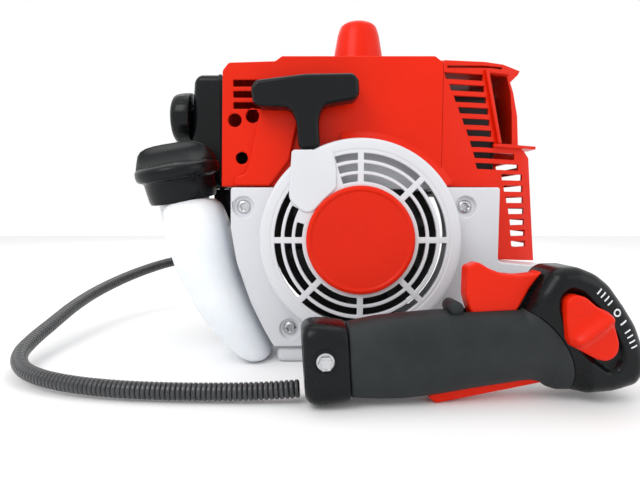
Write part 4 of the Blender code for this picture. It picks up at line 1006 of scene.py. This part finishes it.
middle = np.array([163.5, 9.5])
rings = drawn_in(head_line, middle, np.linspace(0, 1, 26) ** 1.5, dish_line, [0.012, 0.03, 0.055, 0.09, 0.13, 0.18, 0.24, 0.32, 0.42, 0.55, 0.7, 0.85, 1])
into = np.where(np.arange(39)[:, None] > 25, apart(rings, dish_line), 0)
facing = np.arctan2(rings[..., 1] - 9.5, rings[..., 0] - 163.5)
front_face = head_front(rings) - 4.4 * eased(into / (4.4 - 2.4 * np.cos(facing - 0.6)))
back_rings = drawn_in(head_line, middle, np.linspace(0, 1, 22) ** 1.5)
head_shell = surface("handle_head_moulding", black,
                     (in_hand(np.concatenate([np.dstack([rings, -front_face])[::-1], np.dstack([back_rings, head_front(back_rings)])])),
                      True, False, False), crease=60)
seat(head_shell, "handle", "black_plastic", "handle_head")

stamped = Paint("printed marks", Specular_IOR_Level=0.3)
fade = stamped.noise(900, 3, 0.6)
stamped.give(Base_Color=stamped.blend(fade.between(0.35, 0.6), (0.62, 0.66, 0.68), (0.82, 0.86, 0.88)), Roughness=0.5 + fade * 0.1,
             Normal=stamped.bump(fade, 0.00001))


def mark(at, angle, long, thick):
    """A small bar printed on the head, its long side at an angle to the grip."""
    c, s = np.cos(angle), np.sin(angle)
    box = np.array([(-long, -thick), (long, -thick), (long, thick), (-long, thick)]) / 2 @ np.array([(c, s), (-s, c)]) + at
    line = evenly(box, 24)
    return np.concatenate([np.dstack([np.broadcast_to(line, (2, 24, 2)), -head_front(line)[None] + np.array([[0.25], [-0.10]])])])


ring_out, ring_in = circle(178.9, 19.6, 2.3, 32), circle(178.9, 19.6, 1.45, 32)
nought = np.stack([np.column_stack([line, -head_front(line) + rise]) for line, rise in
                   ((ring_out, 0.25), (ring_out, -0.10), (ring_in, -0.10), (ring_in, 0.25))])
marks = surface("switch_marks", stamped.material, (in_hand(nought), True, True, False),
                *[(in_hand(mark(at, angle, long, thick)), True, False, True) for at, angle, long, thick in
                  (((182.6, 13.6), 0.55, 4.4, 1.0), ((168.4, 32.6), 0.75, 4.0, 0.8), ((170.6, 30.4), 0.72, 4.0, 0.8), ((172.7, 28.1), 0.70, 4.0, 0.8),
                   ((174.7, 25.6), 0.66, 4.0, 0.8), ((185.0, 8.4), 0.5, 4.0, 0.8), ((186.5, 5.4), 0.45, 4.0, 0.8), ((187.8, 2.3), 0.4, 4.0, 0.8),
                   ((189.0, -0.8), 0.35, 4.0, 0.8))], crease=40)
seat(marks, "handle", "white_plastic", "handle_head")

trigger_line = rounded([(98.4, 24.5), (100.6, 19), (123.5, 18.6), (127.4, 22.4), (134.9, 34.6), (143.2, 44.6), (138.6, 42.6), (128.5, 42.2), (119.3, 43.6),
                        (111, 47.2), (104.6, 51.6), (97.6, 49.2), (96.4, 32)], [4, 2, 2, 3, 20, 2, 10, 30, 20, 20, 4, 3, 20], 6)
trigger = surface("trigger_moulding", red, (swept(trigger_line, rim(-5.6, 5.6, 1.8, 1.8, 5), in_hand), True, False, True),
                  crease=60, weighted=True)
seat(trigger, "trigger", "red_plastic", "throttle_trigger")
lever_line = rounded([(71.9, -26.2), (76.5, -30.5), (118, -25.6), (142.4, -22.6), (143.2, -20.2), (139, -18), (100, -21), (76, -23)],
                     [1.5, 3, 20, 1.2, 1.2, 3, 20, 3], 5)
lever = surface("lockout_moulding", red, (swept(lever_line, rim(-5.5, 5.5, 1.0, 1.0, 4), in_hand), True, False, True), crease=60, weighted=True)
seat(lever, "lockout", "red_plastic", "lockout_lever")

switch_line = evenly(rounded([(147.4, 29.6), (152.6, 32.4), (158.6, 30.4), (165, 24.6), (171.6, 21.4), (175.6, 17.6), (175.4, 12.8), (178.2, 2), (176.6, -4.4),
                              (170.9, -7.4), (165, -5.6), (155.4, 0.2), (150.2, 3.2), (148.4, 7), (147.2, 17.4)],
                             [6, 6, 8, 12, 6, 3, 5, 12, 7, 7, 10, 12, 3, 4, 14], 6), 200)
hub = np.array([162.4, 12.2])
rings = drawn_in(switch_line, hub, np.append(np.linspace(0, 0.96, 30) ** 1.3, 1.0))
along, beside = (rings - hub) @ np.array([0.838, 0.545]), (rings - hub) @ np.array([-0.545, 0.838])
ridge = 5.0 * (1 - np.clip((np.abs(beside) - 0.9) / 8.5, 0, 1)) ** 2.6 * (1 - np.clip(np.abs(along) / 15.5, 0, 1) ** 5)
button = 0.3 * np.exp(-((np.hypot(rings[..., 0] - 154.4, rings[..., 1] - 24.6) - 3.8) / 0.5) ** 2)
lid = bowed(apart(rings, switch_line), 22.4, 1.8) + (ridge + button) * eased(apart(rings, switch_line) / 2.5)
wall = np.dstack([np.broadcast_to(switch_line, (2, 200, 2)), np.broadcast_to(np.array([[-17.0], [-14.2]]), (2, 200))])
switch = surface("stop_switch_moulding", red, (in_hand(np.concatenate([np.dstack([rings, -lid])[::-1], wall])), True, False, True), crease=60)
seat(switch, "switch", "red_plastic", "stop_switch")


def hexagon(angle, r, h):
    """A hexagon's radius at each angle, on the bolt head's wall only."""
    return np.where((h > 17.7) & (r > 2.6), 1 / np.cos((angle % (np.pi / 3)) - np.pi / 6) * np.where(r > 3.7, 1, 0.97), 1.0)


bolt_turn = leant(spun([(0, 21.4), (2.6, 21.4), (2.8, 21.9), (3.4, 22.0), (3.8, 21.5), (3.8, 17.8), (5.0, 17.6), (5.1, 17.3), (5.1, 14.4), (3, 14.2),
                        (3, -12), (0, -12)], (12, 0, 3), 72, "-Y", hexagon), hand_at, hand_turn)
bolt = surface("clamp_bolt_finished", plated, (bolt_turn, True, False, False), crease=30)
seat(bolt, "handle", "steel", "clamp_bolt")

for node, look in dress.items():
    nodes[node].data.materials.clear()
    nodes[node].data.materials.append(look)
